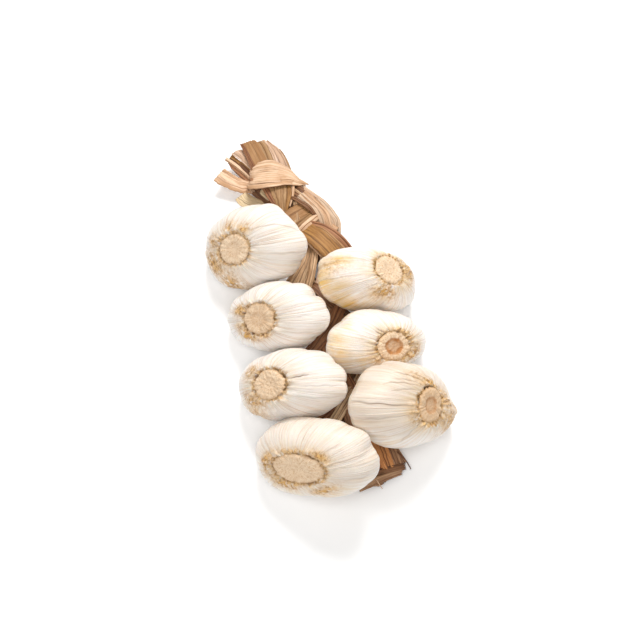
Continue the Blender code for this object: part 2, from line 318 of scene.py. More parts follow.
# ---- node helpers ----------------------------------------------------------------
class Nodes:
    """Short calls for building one material's node tree."""

    def __init__(self, name, roughness, **sockets):
        self.material = bpy.data.materials.new(name)
        self.material.use_nodes = True
        self.tree = self.material.node_tree
        self.shader = self.tree.nodes["Principled BSDF"]
        self.set_sockets(self.shader, Roughness=roughness, **sockets)

    def set_sockets(self, node, **sockets):
        for key, value in sockets.items():
            node.inputs[key.replace("_", " ")].default_value = value

    def add(self, kind, **sockets):
        node = self.tree.nodes.new("ShaderNode" + kind)
        self.set_sockets(node, **sockets)
        return node

    def link(self, source, target):
        self.tree.links.new(source, target)

    def fill(self, socket, value):
        """Give a socket a number, a colour or a link."""
        if isinstance(value, (int, float)):
            socket.default_value = value
        elif isinstance(value, tuple):
            socket.default_value = (*value, 1.0)
        else:
            self.link(value, socket)

    def attribute(self, name, output="Fac"):
        node = self.add("Attribute")
        node.attribute_name = name
        return node.outputs[output]

    def object_coords(self):
        return self.add("TexCoord").outputs["Object"]

    def scaled(self, vector, scale):
        node = self.add("Mapping", Scale=scale)
        self.link(vector, node.inputs["Vector"])
        return node.outputs["Vector"]

    def noise(self, vector, scale, detail=3.0, rough=0.55):
        node = self.add("TexNoise", Scale=scale, Detail=detail, Roughness=rough)
        self.link(vector, node.inputs["Vector"])
        return node.outputs["Fac"]

    def ramp(self, factor, low, high, to_low=0.0, to_high=1.0):
        node = self.add("MapRange", From_Min=low, From_Max=high, To_Min=to_low, To_Max=to_high)
        node.interpolation_type = "SMOOTHSTEP"
        self.link(factor, node.inputs["Value"])
        return node.outputs["Result"]

    def maths(self, operation, first, second):
        node = self.add("Math")
        node.operation = operation
        self.fill(node.inputs[0], first)
        self.fill(node.inputs[1], second)
        return node.outputs["Value"]

    def times(self, first, second):
        return self.maths("MULTIPLY", first, second)

    def plus(self, first, second):
        return self.maths("ADD", first, second)

    def mix(self, factor, first, second):
        node = self.add("Mix")
        node.data_type = "RGBA"
        for socket, value in ((0, factor), (6, first), (7, second)):
            self.fill(node.inputs[socket], value)
        return node.outputs[2]

    def finish(self, colour, height, strength, distance):
        """Link the colour and a bump to the shader, and return the material."""
        bump = self.add("Bump", Strength=strength, Distance=distance)
        self.link(height, bump.inputs["Height"])
        self.link(bump.outputs["Normal"], self.shader.inputs["Normal"])
        self.link(colour, self.shader.inputs["Base Color"])
        return self.material


# ---- garlic materials --------------------------------------------------------------
SKIN_WHITE = (0.92, 0.89, 0.86)
SKIN_WARM = (0.84, 0.67, 0.51)
SKIN_PAINTED_SHADE = (0.64, 0.50, 0.35)
SKIN_VEIN = (0.60, 0.44, 0.33)
GOLD_STAIN_AND_SHADE = (0.78, 0.50, 0.14)
CREVICE_SHADE = (0.20, 0.09, 0.028)
CRUST_GOLD = (0.66, 0.36, 0.075)
CRUST_DARK = (0.36, 0.17, 0.045)
PLATE_TAN = (0.74, 0.52, 0.33)
PLATE_PALE = (0.88, 0.71, 0.52)
PLATE_DARK = (0.56, 0.33, 0.15)
PLATE_RED = (0.46, 0.20, 0.065)
FLAKE_PALE = (0.87, 0.80, 0.67)
FLAKE_TAN = (0.78, 0.61, 0.40)
FLAKE_RIM = (0.30, 0.15, 0.045)


def skin_material(name, warmth, gold):
    """Papery garlic skin: fine veins along the bulb, gold stains and crust, and painted shade on the
    underside, toward the neck and in the gaps and sunk lines.
    """
    n = Nodes(name, 0.38, Subsurface_Weight=0.10, Subsurface_Scale=0.003,
              Subsurface_Radius=(1.0, 0.55, 0.3))
    around = n.attribute("around", "Vector")
    place = n.object_coords()
    broad = n.noise(n.scaled(around, (1.0, 1.0, 0.16)), 7.0)
    streak = n.noise(n.scaled(around, (1.0, 1.0, 0.08)), 19.0, 5.0, 0.62)
    fine = n.noise(n.scaled(around, (1.0, 1.0, 0.05)), 42.0, 3.0, 0.65)
    cloud = n.noise(place, 75.0, 4.0)
    tint = n.plus(n.ramp(streak, 0.46, 0.66, 0.0, 0.40),
                  n.ramp(broad, 0.45, 0.80, warmth * 0.5, 0.13 + warmth))
    stain_and_shade = n.times(n.attribute("stain_and_shade"), n.ramp(cloud, 0.30, 0.52))
    stain_and_shade = n.times(stain_and_shade, n.ramp(streak, 0.36, 0.60, 0.4 * gold, gold))
    crust = n.times(n.attribute("crust"), n.ramp(n.noise(place, 420.0, 4.0), 0.30, 0.50))
    specks = n.times(crust, n.ramp(n.noise(place, 700.0), 0.48, 0.58))
    base = n.mix(tint, SKIN_WHITE, SKIN_WARM)
    # painted shade: the skin turns to this colour on its underside, near the floor and in the clove grooves
    base = n.mix(n.attribute("under"), base, SKIN_PAINTED_SHADE)
    base = n.mix(n.times(n.ramp(fine, 0.50, 0.68), n.attribute("vein")), base, SKIN_VEIN)
    # gold stains, and painted golden shade from the widest line to the neck
    base = n.mix(stain_and_shade, base, GOLD_STAIN_AND_SHADE)
    base = n.mix(crust, base, CRUST_GOLD)
    base = n.mix(specks, base, CRUST_DARK)
    # painted shade in the gaps beside the root plate and along the sunk lines
    base = n.mix(n.attribute("crevice_shade"), base, CREVICE_SHADE)
    return n.finish(base, n.plus(n.times(fine, 0.8), n.times(streak, 0.9)), 0.60, 0.0010)


def plate_material():
    """Root plate: dry tan fibres, darker toward its edge, in its ring and its pits, with painted shade in the
    gap at its rim.
    """
    n = Nodes("root_plate", 0.85)
    place = n.object_coords()
    radial = n.noise(n.scaled(n.attribute("around", "Vector"), (1.0, 1.0, 0.25)), 14.0, 5.0, 0.65)
    grain = n.noise(place, 1100.0, 4.0, 0.7)
    cloud = n.noise(place, 260.0)
    base = n.mix(n.ramp(radial, 0.32, 0.66), PLATE_TAN, PLATE_PALE)
    base = n.mix(n.ramp(cloud, 0.45, 0.75, 0.0, 0.4), base, PLATE_TAN)
    base = n.mix(n.ramp(grain, 0.50, 0.66, 0.0, 0.75), base, PLATE_DARK)
    base = n.mix(n.attribute("edge"), base, PLATE_DARK)
    base = n.mix(n.times(n.attribute("ring"), n.ramp(cloud, 0.25, 0.80, 0.65, 1.2)), base, PLATE_RED)
    # painted shade in the gap at the plate's rim
    base = n.mix(n.attribute("crevice_shade"), base, CREVICE_SHADE)
    return n.finish(base, n.plus(n.times(radial, 0.5), grain), 0.5, 0.0006)


def flake_material():
    """Torn papery skin round the roots: pale, gold and brown at its torn edge."""
    n = Nodes("torn_skin", 0.6)
    streak = n.noise(n.scaled(n.attribute("around", "Vector"), (1.0, 1.0, 0.10)), 45.0)
    cloud = n.noise(n.object_coords(), 330.0, 4.0)
    edge = n.attribute("edge")
    base = n.mix(n.ramp(streak, 0.35, 0.7), FLAKE_PALE, FLAKE_TAN)
    base = n.mix(n.times(edge, n.ramp(cloud, 0.30, 0.52)), base, CRUST_GOLD)
    base = n.mix(n.times(n.ramp(edge, 0.60, 1.0), n.ramp(cloud, 0.46, 0.58)), base, FLAKE_RIM)
    return n.finish(base, streak, 0.4, 0.0005)


# ---- bulbs ---------------------------------------------------------------------
class Bulb:
    """One garlic bulb: its surface as a function of angle round and share along."""

    def __init__(self, node, row, seed):
        turns, (self.wide_half, self.narrow_half, self.boxiness), heights, plate = row
        self.node, self.seed = node, seed
        self.root_height, self.shoulder, self.neck = heights
        self.plate_wide, self.plate_narrow = plate
        self.set_axes(*turns)
        draw = np.random.default_rng(seed)
        count = int(draw.integers(7, 10))
        self.grooves = np.sort((np.arange(count) + draw.uniform(-0.26, 0.26, count)) / count) * TURN
        self.depths = draw.uniform(0.5, 1.8, count)
        self.place = np.zeros(3)
        self.put_in_box(*(np.array(corner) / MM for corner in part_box(node)))

    def set_axes(self, heading, lift, roll):
        """Root axis, and the two axes across it, turned by roll."""
        self.root = heading_vector(heading, lift)
        narrow = heading_vector(NARROW_HEADING, NARROW_LIFT)
        narrow = unit(narrow - self.root * (narrow @ self.root))
        wide = np.cross(narrow, self.root)
        turn = math.radians(roll)
        self.wide = wide * math.cos(turn) + narrow * math.sin(turn)
        self.narrow = narrow * math.cos(turn) - wide * math.sin(turn)

    def put_in_box(self, low, high):
        """Centre the bulb on its CAD box and rest it on the floor."""
        angle, share = np.meshgrid(np.linspace(0, TURN, 96), np.linspace(0, 1, 60))
        points = self.surface(angle, share).reshape(-1, 3)
        middle = (points.min(0) + points.max(0)) / 2
        self.place = (low + high) / 2 - middle
        self.place[2] = -points[:, 2].min() - FLOOR_SINK

    def profile(self, share):
        """Spread from root plate (0) to widest (1), height along the root axis, and
        whether the share is past the widest line."""
        first = math.asin(PLATE_SHARE ** (ROOT_FULLNESS / 2.0))
        angle = first + (math.pi / 2.0 - first) * np.clip(share / WIDEST, 0.0, 1.0)
        power = 2.0 / ROOT_FULLNESS
        spread = (np.sin(angle) ** power - PLATE_SHARE) / (1.0 - PLATE_SHARE)
        height = self.root_height * np.maximum(np.cos(angle), 0.0) ** power
        down = np.clip((share - WIDEST) / (1.0 - WIDEST), 0.0, 1.0) * (self.shoulder + self.neck)
        reach = np.minimum(down / self.shoulder, 1.0)
        bell = 0.5 * (1.0 + np.cos(math.pi * reach))
        back = SHOULDER_ROUND * np.sqrt(1.0 - reach * reach) + (1.0 - SHOULDER_ROUND) * bell
        past = share > WIDEST
        return np.where(past, back, spread), np.where(past, -down, height), past

    def cloves(self, angle, share):
        """Outward swell of the cloves, in mm, and the turn to the nearest groove."""
        edges = np.append(self.grooves, self.grooves[0] + TURN)
        wander = 0.05 * np.sin(7.0 * share + self.seed)
        spot = np.mod(angle + wander - edges[0], TURN) + edges[0]
        index = np.clip(np.searchsorted(edges, spot, side="right") - 1, 0, len(edges) - 2)
        along = (spot - edges[index]) / (edges[index + 1] - edges[index])
        swell = np.sin(math.pi * np.clip(along, 0.0, 1.0)) ** 0.80
        after = self.depths[(index + 1) % len(self.depths)]
        depth = self.depths[index] * (1 - along) + after * along
        gap = np.minimum(along, 1.0 - along) * (edges[index + 1] - edges[index])
        amount = 0.30 + 1.0 * smooth_step(0.15, 0.55, share)
        amount = amount * (1.0 - 0.45 * smooth_step(0.60, 0.90, share)) * smooth_step(0.0, 0.15, share)
        return (swell - 0.68) * depth * amount, gap

    def wrinkles(self, angle, share):
        """Ridges of the dry skin, running from root to neck."""
        draw = np.random.default_rng(self.seed + 50)
        total = np.zeros_like(angle)
        for _ in range(46):
            centre = draw.uniform(0, TURN) + 0.06 * np.sin(draw.uniform(2, 5) * share + draw.uniform(0, 6))
            width = draw.uniform(0.018, 0.05)
            start, stop = draw.uniform(-0.2, 0.3), draw.uniform(0.4, 1.1)
            height = draw.uniform(-0.13, 0.15)
            fade = smooth_step(start, start + 0.1, share) * (1 - smooth_step(stop - 0.15, stop, share))
            total += height * np.exp(-(offset_from(angle, centre) / width) ** 2) * fade
        return total

    def lumps(self, angle, share):
        """Swellings and dents, in mm."""
        total = np.zeros_like(angle)
        for heading, level, height, spread, reach in LUMPS[self.node]:
            total += height * patch(angle, share, heading, level, spread, reach)
        return total

    def gaps(self, angle):
        """How open the gap beside the root plate is, from 0 to 1; its darkness is painted shade."""
        ragged = np.clip(0.55 + 0.6 * ring_noise(self.seed + 21, angle, 30), 0.0, 1.0)
        total = np.full_like(angle, 0.15)
        for heading, half, strength in GAPS[self.node]:
            offset = offset_from(angle, math.radians(heading))
            reach = np.abs(offset) / math.radians(half)
            total = np.maximum(total, strength * smooth_step(1.15, 0.75, reach))
        return total * ragged

    def with_patches(self, total, table, angle, share):
        """The larger, at each point, of total and this bulb's patches in a table."""
        for heading, level, spread, reach, strength in table[self.node]:
            total = np.maximum(total, strength * patch(angle, share, heading, level, spread, reach))
        return total

    def crust(self, angle, share):
        """Flaky golden crust round the root plate, from 0 to 1."""
        torn = np.clip(0.5 + 0.6 * ring_noise(self.seed + 23, angle, 40), 0.0, 1.0)
        total = 0.7 * (1.0 - smooth_step(0.010, 0.022 + 0.035 * torn, share))
        return self.with_patches(total, CRUSTS, angle, share)

    def stains_and_shade(self, angle, share):
        """Where the skin is stained golden, from 0 to 1, with painted golden shade from the widest line to
        the neck.
        """
        total = 0.06 + 0.50 * (1.0 - smooth_step(0.04, 0.18, share)) + 0.55 * smooth_step(0.44, 0.58, share)
        return self.with_patches(total, STAINS_AND_SHADE, angle, share)

    def lines(self, angle, share):
        """Thin sunk lines of the skin, from 0 to 1; their darkness is painted shade."""
        total = np.zeros_like(angle)
        for first, last, start, stop, strength in LINES[self.node]:
            run = np.clip((share - start) / (stop - start), 0.0, 1.0)
            heading = math.radians(first) + math.radians(last - first) * run
            heading = heading + 0.012 * np.sin(19.0 * run + first)
            inside = (share > start) * (share < stop) * np.sin(math.pi * run) ** 0.5
            line = np.exp(-(offset_from(angle, heading) / 0.021) ** 2)
            total = np.maximum(total, strength * inside * line)
        return total

    def relief(self, angle, share):
        """All that lifts or sinks the skin, in mm."""
        cloves, _ = self.cloves(angle, share)
        total = cloves + self.wrinkles(angle, share) + self.lumps(angle, share)
        total = total - 0.45 * self.lines(angle, share)
        crumbs = wave_noise(self.seed + 6, round_coords(angle, 3.0 * share), 24.0, 2)
        total = total + 0.5 * self.crust(angle, share) * crumbs
        ring = round_coords(angle, 2.2 * share)
        total = total + 0.55 * wave_noise(self.seed + 9, ring, 2.2) * smooth_step(0.0, 0.2, share)
        near = 1 - smooth_step(0.02, 0.12, share)
        total = total + 0.30 * ring_noise(self.seed + 3, angle, 34) * near
        return total + 0.35 * wave_noise(self.seed + 4, ring, 16.0) * near

    def at(self, across, along, rise):
        """Points from distances along the bulb's own wide, narrow and root axes."""
        return (self.wide * across[..., None] + self.narrow * along[..., None]
                + self.root * rise[..., None] + self.place)

    def surface(self, angle, share):
        """Points of the skin."""
        spread, height, past = self.profile(share)
        relief = self.relief(angle, share)
        box = np.abs(np.cos(angle)) ** self.boxiness + np.abs(np.sin(angle)) ** self.boxiness
        box = 1.0 + (box ** (-1.0 / self.boxiness) - 1.0) * np.clip(spread, 0, 1)
        halves = []
        for plate, widest in ((self.plate_wide, self.wide_half), (self.plate_narrow, self.narrow_half)):
            base = np.where(past, NECK_RADIUS, plate)
            halves.append((base + (widest - base) * spread) * box + relief)
        dip = (RIM_DEPTH[0] + RIM_DEPTH[1] * self.gaps(angle)) * (1 - smooth_step(0.0, 0.035, share))
        rise = height - dip + relief * np.clip(1.0 - spread, 0.0, 1.0) * np.where(past, 0.0, 1.0)
        return self.at(halves[0] * np.cos(angle), halves[1] * np.sin(angle), rise)

    def normals(self, angle, share):
        step = 0.004
        around = self.surface(angle + step, share) - self.surface(angle - step, share)
        along = self.surface(angle, share + step) - self.surface(angle, np.maximum(share - step, 0.0))
        return unit(np.cross(along, around)) * -1.0


def long_shares():
    """Rows from the root plate to the neck, closer together beside the plate."""
    even = np.linspace(0.0, 1.0, LONG_STEPS)
    return even ** 1.5 * 0.35 + even * 0.65


def skin_attributes(bulb, angle, share, points):
    """What the skin's material reads at each point and at the middles of both ends."""
    opening = bulb.gaps(angle)
    # crack holds painted shade in the gaps beside the root plate and along the sunk lines
    crevice_shade = opening * (1.0 - smooth_step(0.003, 0.008 + 0.009 * opening, share))
    crevice_shade = np.maximum(crevice_shade, bulb.lines(angle, share) * 0.85)
    _, gap = bulb.cloves(angle, share)
    # under is painted shade: darker and warmer where the skin faces down, low near the floor and in the clove
    # grooves; TINTS sets its strength per bulb
    under = 0.45 * smooth_step(0.15, -0.70, bulb.normals(angle, share)[..., 2])
    under = under + 0.20 * (1 - smooth_step(0.0, 15.0, points[..., 2]))
    under = under + 0.14 * (1.0 - smooth_step(0.0, 0.10, gap)) * smooth_step(0.05, 0.2, share)
    # key: values, then the value at the middle of the neck end and of the root end
    values = {
        "under": (under * TINTS[bulb.node][5], 0.6, 0.0),
        "stain_and_shade": (bulb.stains_and_shade(angle, share), 0.0, 1.0),
        "vein": (0.62 + 0.28 * (1.0 - smooth_step(0.0, 0.30, share)), 0.0, 0.0),
        "crust": (bulb.crust(angle, share), 0.0, 1.0),
        "crevice_shade": (crevice_shade, 0.0, 1.0),
    }
    around = round_coords(angle, share) + bulb.seed * 1.7
    attributes = {"around": np.vstack([around.reshape(-1, 3), around[-1, 0], around[0, 0]])}
    for key, (inside, neck_end, root_end) in values.items():
        attributes[key] = np.append(inside, (neck_end, root_end))
    return attributes


def make_skin(bulb, material):
    """The bulb's skin, closed by a fan at its neck and a sunken one under its root plate."""
    angles = np.linspace(0, TURN, ROUND_STEPS, endpoint=False)
    share, angle = np.meshgrid(long_shares(), angles, indexing="ij")
    points = bulb.surface(angle, share)
    points[..., 2] = np.maximum(points[..., 2], 0.0)
    neck_end = points[-1].mean(0) - bulb.root * 0.5
    root_end = points[0].mean(0) - bulb.root * 4.0
    rows, columns = share.shape
    last, tip = (rows - 1) * columns, rows * columns
    faces = grid_faces(rows, columns, True)
    faces += [(last + c, last + (c + 1) % columns, tip) for c in range(columns)]
    faces += [((c + 1) % columns, c, tip + 1) for c in range(columns)]
    piece = add_mesh("skin_" + bulb.node, np.vstack([points.reshape(-1, 3), neck_end, root_end]), faces,
                     material, skin_attributes(bulb, angle, share, points))
    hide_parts(bulb.node)
    return piece


def make_plate(bulb, material):
    """Root plate: a rough disc sunk in the ring of skin, its middle a little lower."""
    rings, columns = 25, 128
    radius = np.linspace(0.0, 1.0, rings + 1)[1:]
    angles = np.linspace(0, TURN, columns, endpoint=False)
    reach, angle = np.meshgrid(radius, angles, indexing="ij")
    outline = 1.0 + 0.035 * ring_noise(bulb.seed + 31, angle, 24)
    across = bulb.plate_wide * reach * outline * np.cos(angle)
    along = bulb.plate_narrow * reach * outline * np.sin(angle)
    flat = np.stack([across, along], -1)
    _, _, ring_reach, ring_strength, darkness, _ = TINTS[bulb.node]
    opening = bulb.gaps(angle)
    level = bulb.root_height * PLATE_LEVEL - 0.15
    for number, strength, scale in ((33, 0.16, 1.1), (34, 0.10, 3.1)):
        level = level + strength * wave_noise(bulb.seed + number, flat, scale)
    level = level + 0.14 * ring_noise(bulb.seed + 35, angle, 44) * smooth_step(0.2, 0.8, reach)
    level = level - (0.4 + 0.9 * opening) * smooth_step(0.82, 1.0, reach)
    level = level - 0.25 * (1 - smooth_step(0.0, 0.5, reach))
    level = level - 0.8 * ring_strength * (1 - smooth_step(ring_reach * 0.75, ring_reach * 1.1, reach))
    centre = bulb.root * (bulb.root_height * PLATE_LEVEL - 0.6) + bulb.place
    points = np.vstack([bulb.at(across, along, level).reshape(-1, 3), centre])
    faces = grid_faces(rings, columns, True)
    faces += [((c + 1) % columns, c, rings * columns) for c in range(columns)]
    edge = np.clip(0.45 * smooth_step(0.84, 1.0, reach) + darkness, 0.0, 1.0)
    inner = smooth_step(ring_reach * 1.12, ring_reach * 0.9, reach)
    rim = inner * smooth_step(ring_reach * 0.45, ring_reach * 0.8, reach)
    ring = ring_strength * (0.75 * rim + 0.55 * inner)
    around = round_coords(angle, reach) + bulb.seed
    attributes = {
        "around": np.vstack([around.reshape(-1, 3), around[0].mean(0)]),
        "edge": np.append(edge, 0.0),
        "ring": np.append(ring, ring[0].mean()),
        # painted shade in the gap at the plate's rim
        "crevice_shade": np.append(smooth_step(0.95, 1.0, reach) * opening, 0.0),
    }
    piece = add_mesh("plate_" + bulb.node, points, faces, material, attributes, closed=False)
    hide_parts(bulb.node)
    return piece


def make_collar(bulb, number, material, start, stop, near, far, lift):
    """Torn outer skin: a thin ragged sheet on the bulb, its inner edge raised."""
    columns, rows = 120, 8
    seed = bulb.seed + 79 + number
    angles = np.radians(np.linspace(start, stop, columns))
    run = np.linspace(0, 1, columns)
    ends = smooth_step(0.0, 0.12, run) * smooth_step(1.0, 0.88, run)
    jag = ring_noise(seed, angles, 60)
    slow = ring_noise(seed + 1, angles, 9)
    inner = np.maximum(near + 0.008 * slow + 0.012 * jag, 0.004)
    outer = inner + (far - near) * ends * (0.8 + 0.3 * ring_noise(seed + 2, angles, 50)) + 0.004
    mix_in = np.linspace(0.0, 1.0, rows)[:, None]
    share = np.clip(inner + (outer - inner) * mix_in, 0.006, 0.9)
    angle = np.broadcast_to(angles, share.shape)
    curl = lift * (1.0 - mix_in) ** 2 * ends * (0.7 + 0.5 * ring_noise(seed + 4, angles, 20))
    height = FLAKE_THICKNESS + np.maximum(curl, 0.0)
    points = bulb.surface(angle, share) + bulb.normals(angle, share) * height[..., None]
    points[..., 2] = np.maximum(points[..., 2], 0.1)
    edge = (1.0 - mix_in) ** 1.5 * np.ones_like(share)
    around = round_coords(angle, share) + bulb.seed * 1.7
    attributes = {"around": around.reshape(-1, 3), "edge": edge.reshape(-1)}
    piece = add_mesh(f"torn_{bulb.node}_{number}", points.reshape(-1, 3),
                     grid_faces(rows, columns, False), material, attributes, closed=False)
    sheet = piece.modifiers.new("sheet", "SOLIDIFY")
    sheet.thickness = FLAKE_THICKNESS * MM
    sheet.offset = 1.0
    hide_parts(bulb.node)
    return piece


def build_bulbs():
    pieces = []
    plate = plate_material()
    torn = flake_material()
    for index, (node, row) in enumerate(BULBS.items()):
        bulb = Bulb(node, row, SEED + 11 * index)
        warmth, gold = TINTS[node][:2]
        skin = skin_material("skin_" + node, warmth, gold)
        pieces += [make_skin(bulb, skin), make_plate(bulb, plate)]
        for number, shape in enumerate(TORN[node], 1):
            pieces.append(make_collar(bulb, number, torn, *shape))
    return pieces


# ---- leaf materials ----------------------------------------------------------------
# look: pale fibres, body, dark fibres and painted crease shade
LEAF_LOOKS = {
    "tan": ((0.42, 0.23, 0.10), (0.30, 0.145, 0.052), (0.085, 0.028, 0.008)),
    "olive": ((0.40, 0.235, 0.11), (0.28, 0.145, 0.058), (0.08, 0.030, 0.010)),
    "straw": ((0.76, 0.60, 0.38), (0.64, 0.47, 0.27), (0.12, 0.06, 0.02)),
    "pale": ((0.76, 0.53, 0.355), (0.50, 0.285, 0.15), (0.15, 0.058, 0.020)),
    "pink": ((0.70, 0.50, 0.37), (0.53, 0.34, 0.22), (0.12, 0.045, 0.018)),
    "cream": ((0.72, 0.55, 0.40), (0.55, 0.38, 0.25), (0.11, 0.042, 0.016)),
    "gold": ((0.39, 0.195, 0.058), (0.26, 0.118, 0.032), (0.05, 0.018, 0.006)),
    "red": ((0.38, 0.18, 0.085), (0.235, 0.092, 0.038), (0.05, 0.016, 0.007)),
    "grey": ((0.68, 0.46, 0.27), (0.42, 0.245, 0.125), (0.06, 0.024, 0.012)),
    "rust": ((0.70, 0.31, 0.11), (0.42, 0.155, 0.05), (0.05, 0.016, 0.006)),
    "brown": ((0.50, 0.29, 0.16), (0.28, 0.14, 0.068), (0.05, 0.018, 0.008)),
    # dark: dried leaf, and also the look of sheets that stand for painted shade
    "dark": ((0.27, 0.13, 0.060), (0.13, 0.052, 0.022), (0.02, 0.008, 0.004)),
}


def leaf_material(look):
    """Dry leaf: long fibres, cloudy tone, painted shade in its creases and browned edges."""
    pale, body, dark = LEAF_LOOKS[look]
    n = Nodes("leaf_" + look, 0.55, Specular_IOR_Level=0.3)
    grain = n.attribute("grain", "Vector")
    fibre = n.noise(n.scaled(grain, (1.0, 0.045, 1.0)), 1.0, 4.0, 0.65)
    fine = n.noise(n.scaled(grain, (1.0, 0.03, 1.0)), 2.4, 4.0, 0.65)
    cloud = n.noise(n.object_coords(), 130.0)
    tone = n.plus(n.ramp(fibre, 0.34, 0.62, -0.1, 0.9), n.attribute("tone"))
    tone = n.plus(tone, n.ramp(cloud, 0.35, 0.7, -0.15, 0.25))
    base = n.mix(tone, pale, body)
    base = n.mix(n.ramp(fine, 0.52, 0.68, 0.0, 0.60), base, dark)
    base = n.mix(n.ramp(n.attribute("edge"), 0.2, 1.0, 0.0, 0.35), base, body)
    # painted shade in the creases
    base = n.mix(n.attribute("crease_shade"), base, dark)
    return n.finish(base, n.plus(fibre, n.times(fine, 0.5)), 0.6, 0.0006)


# ---- leaves --------------------------------------------------------------------
LEAF_ROWS = 36
LEAF_COLUMNS = 30

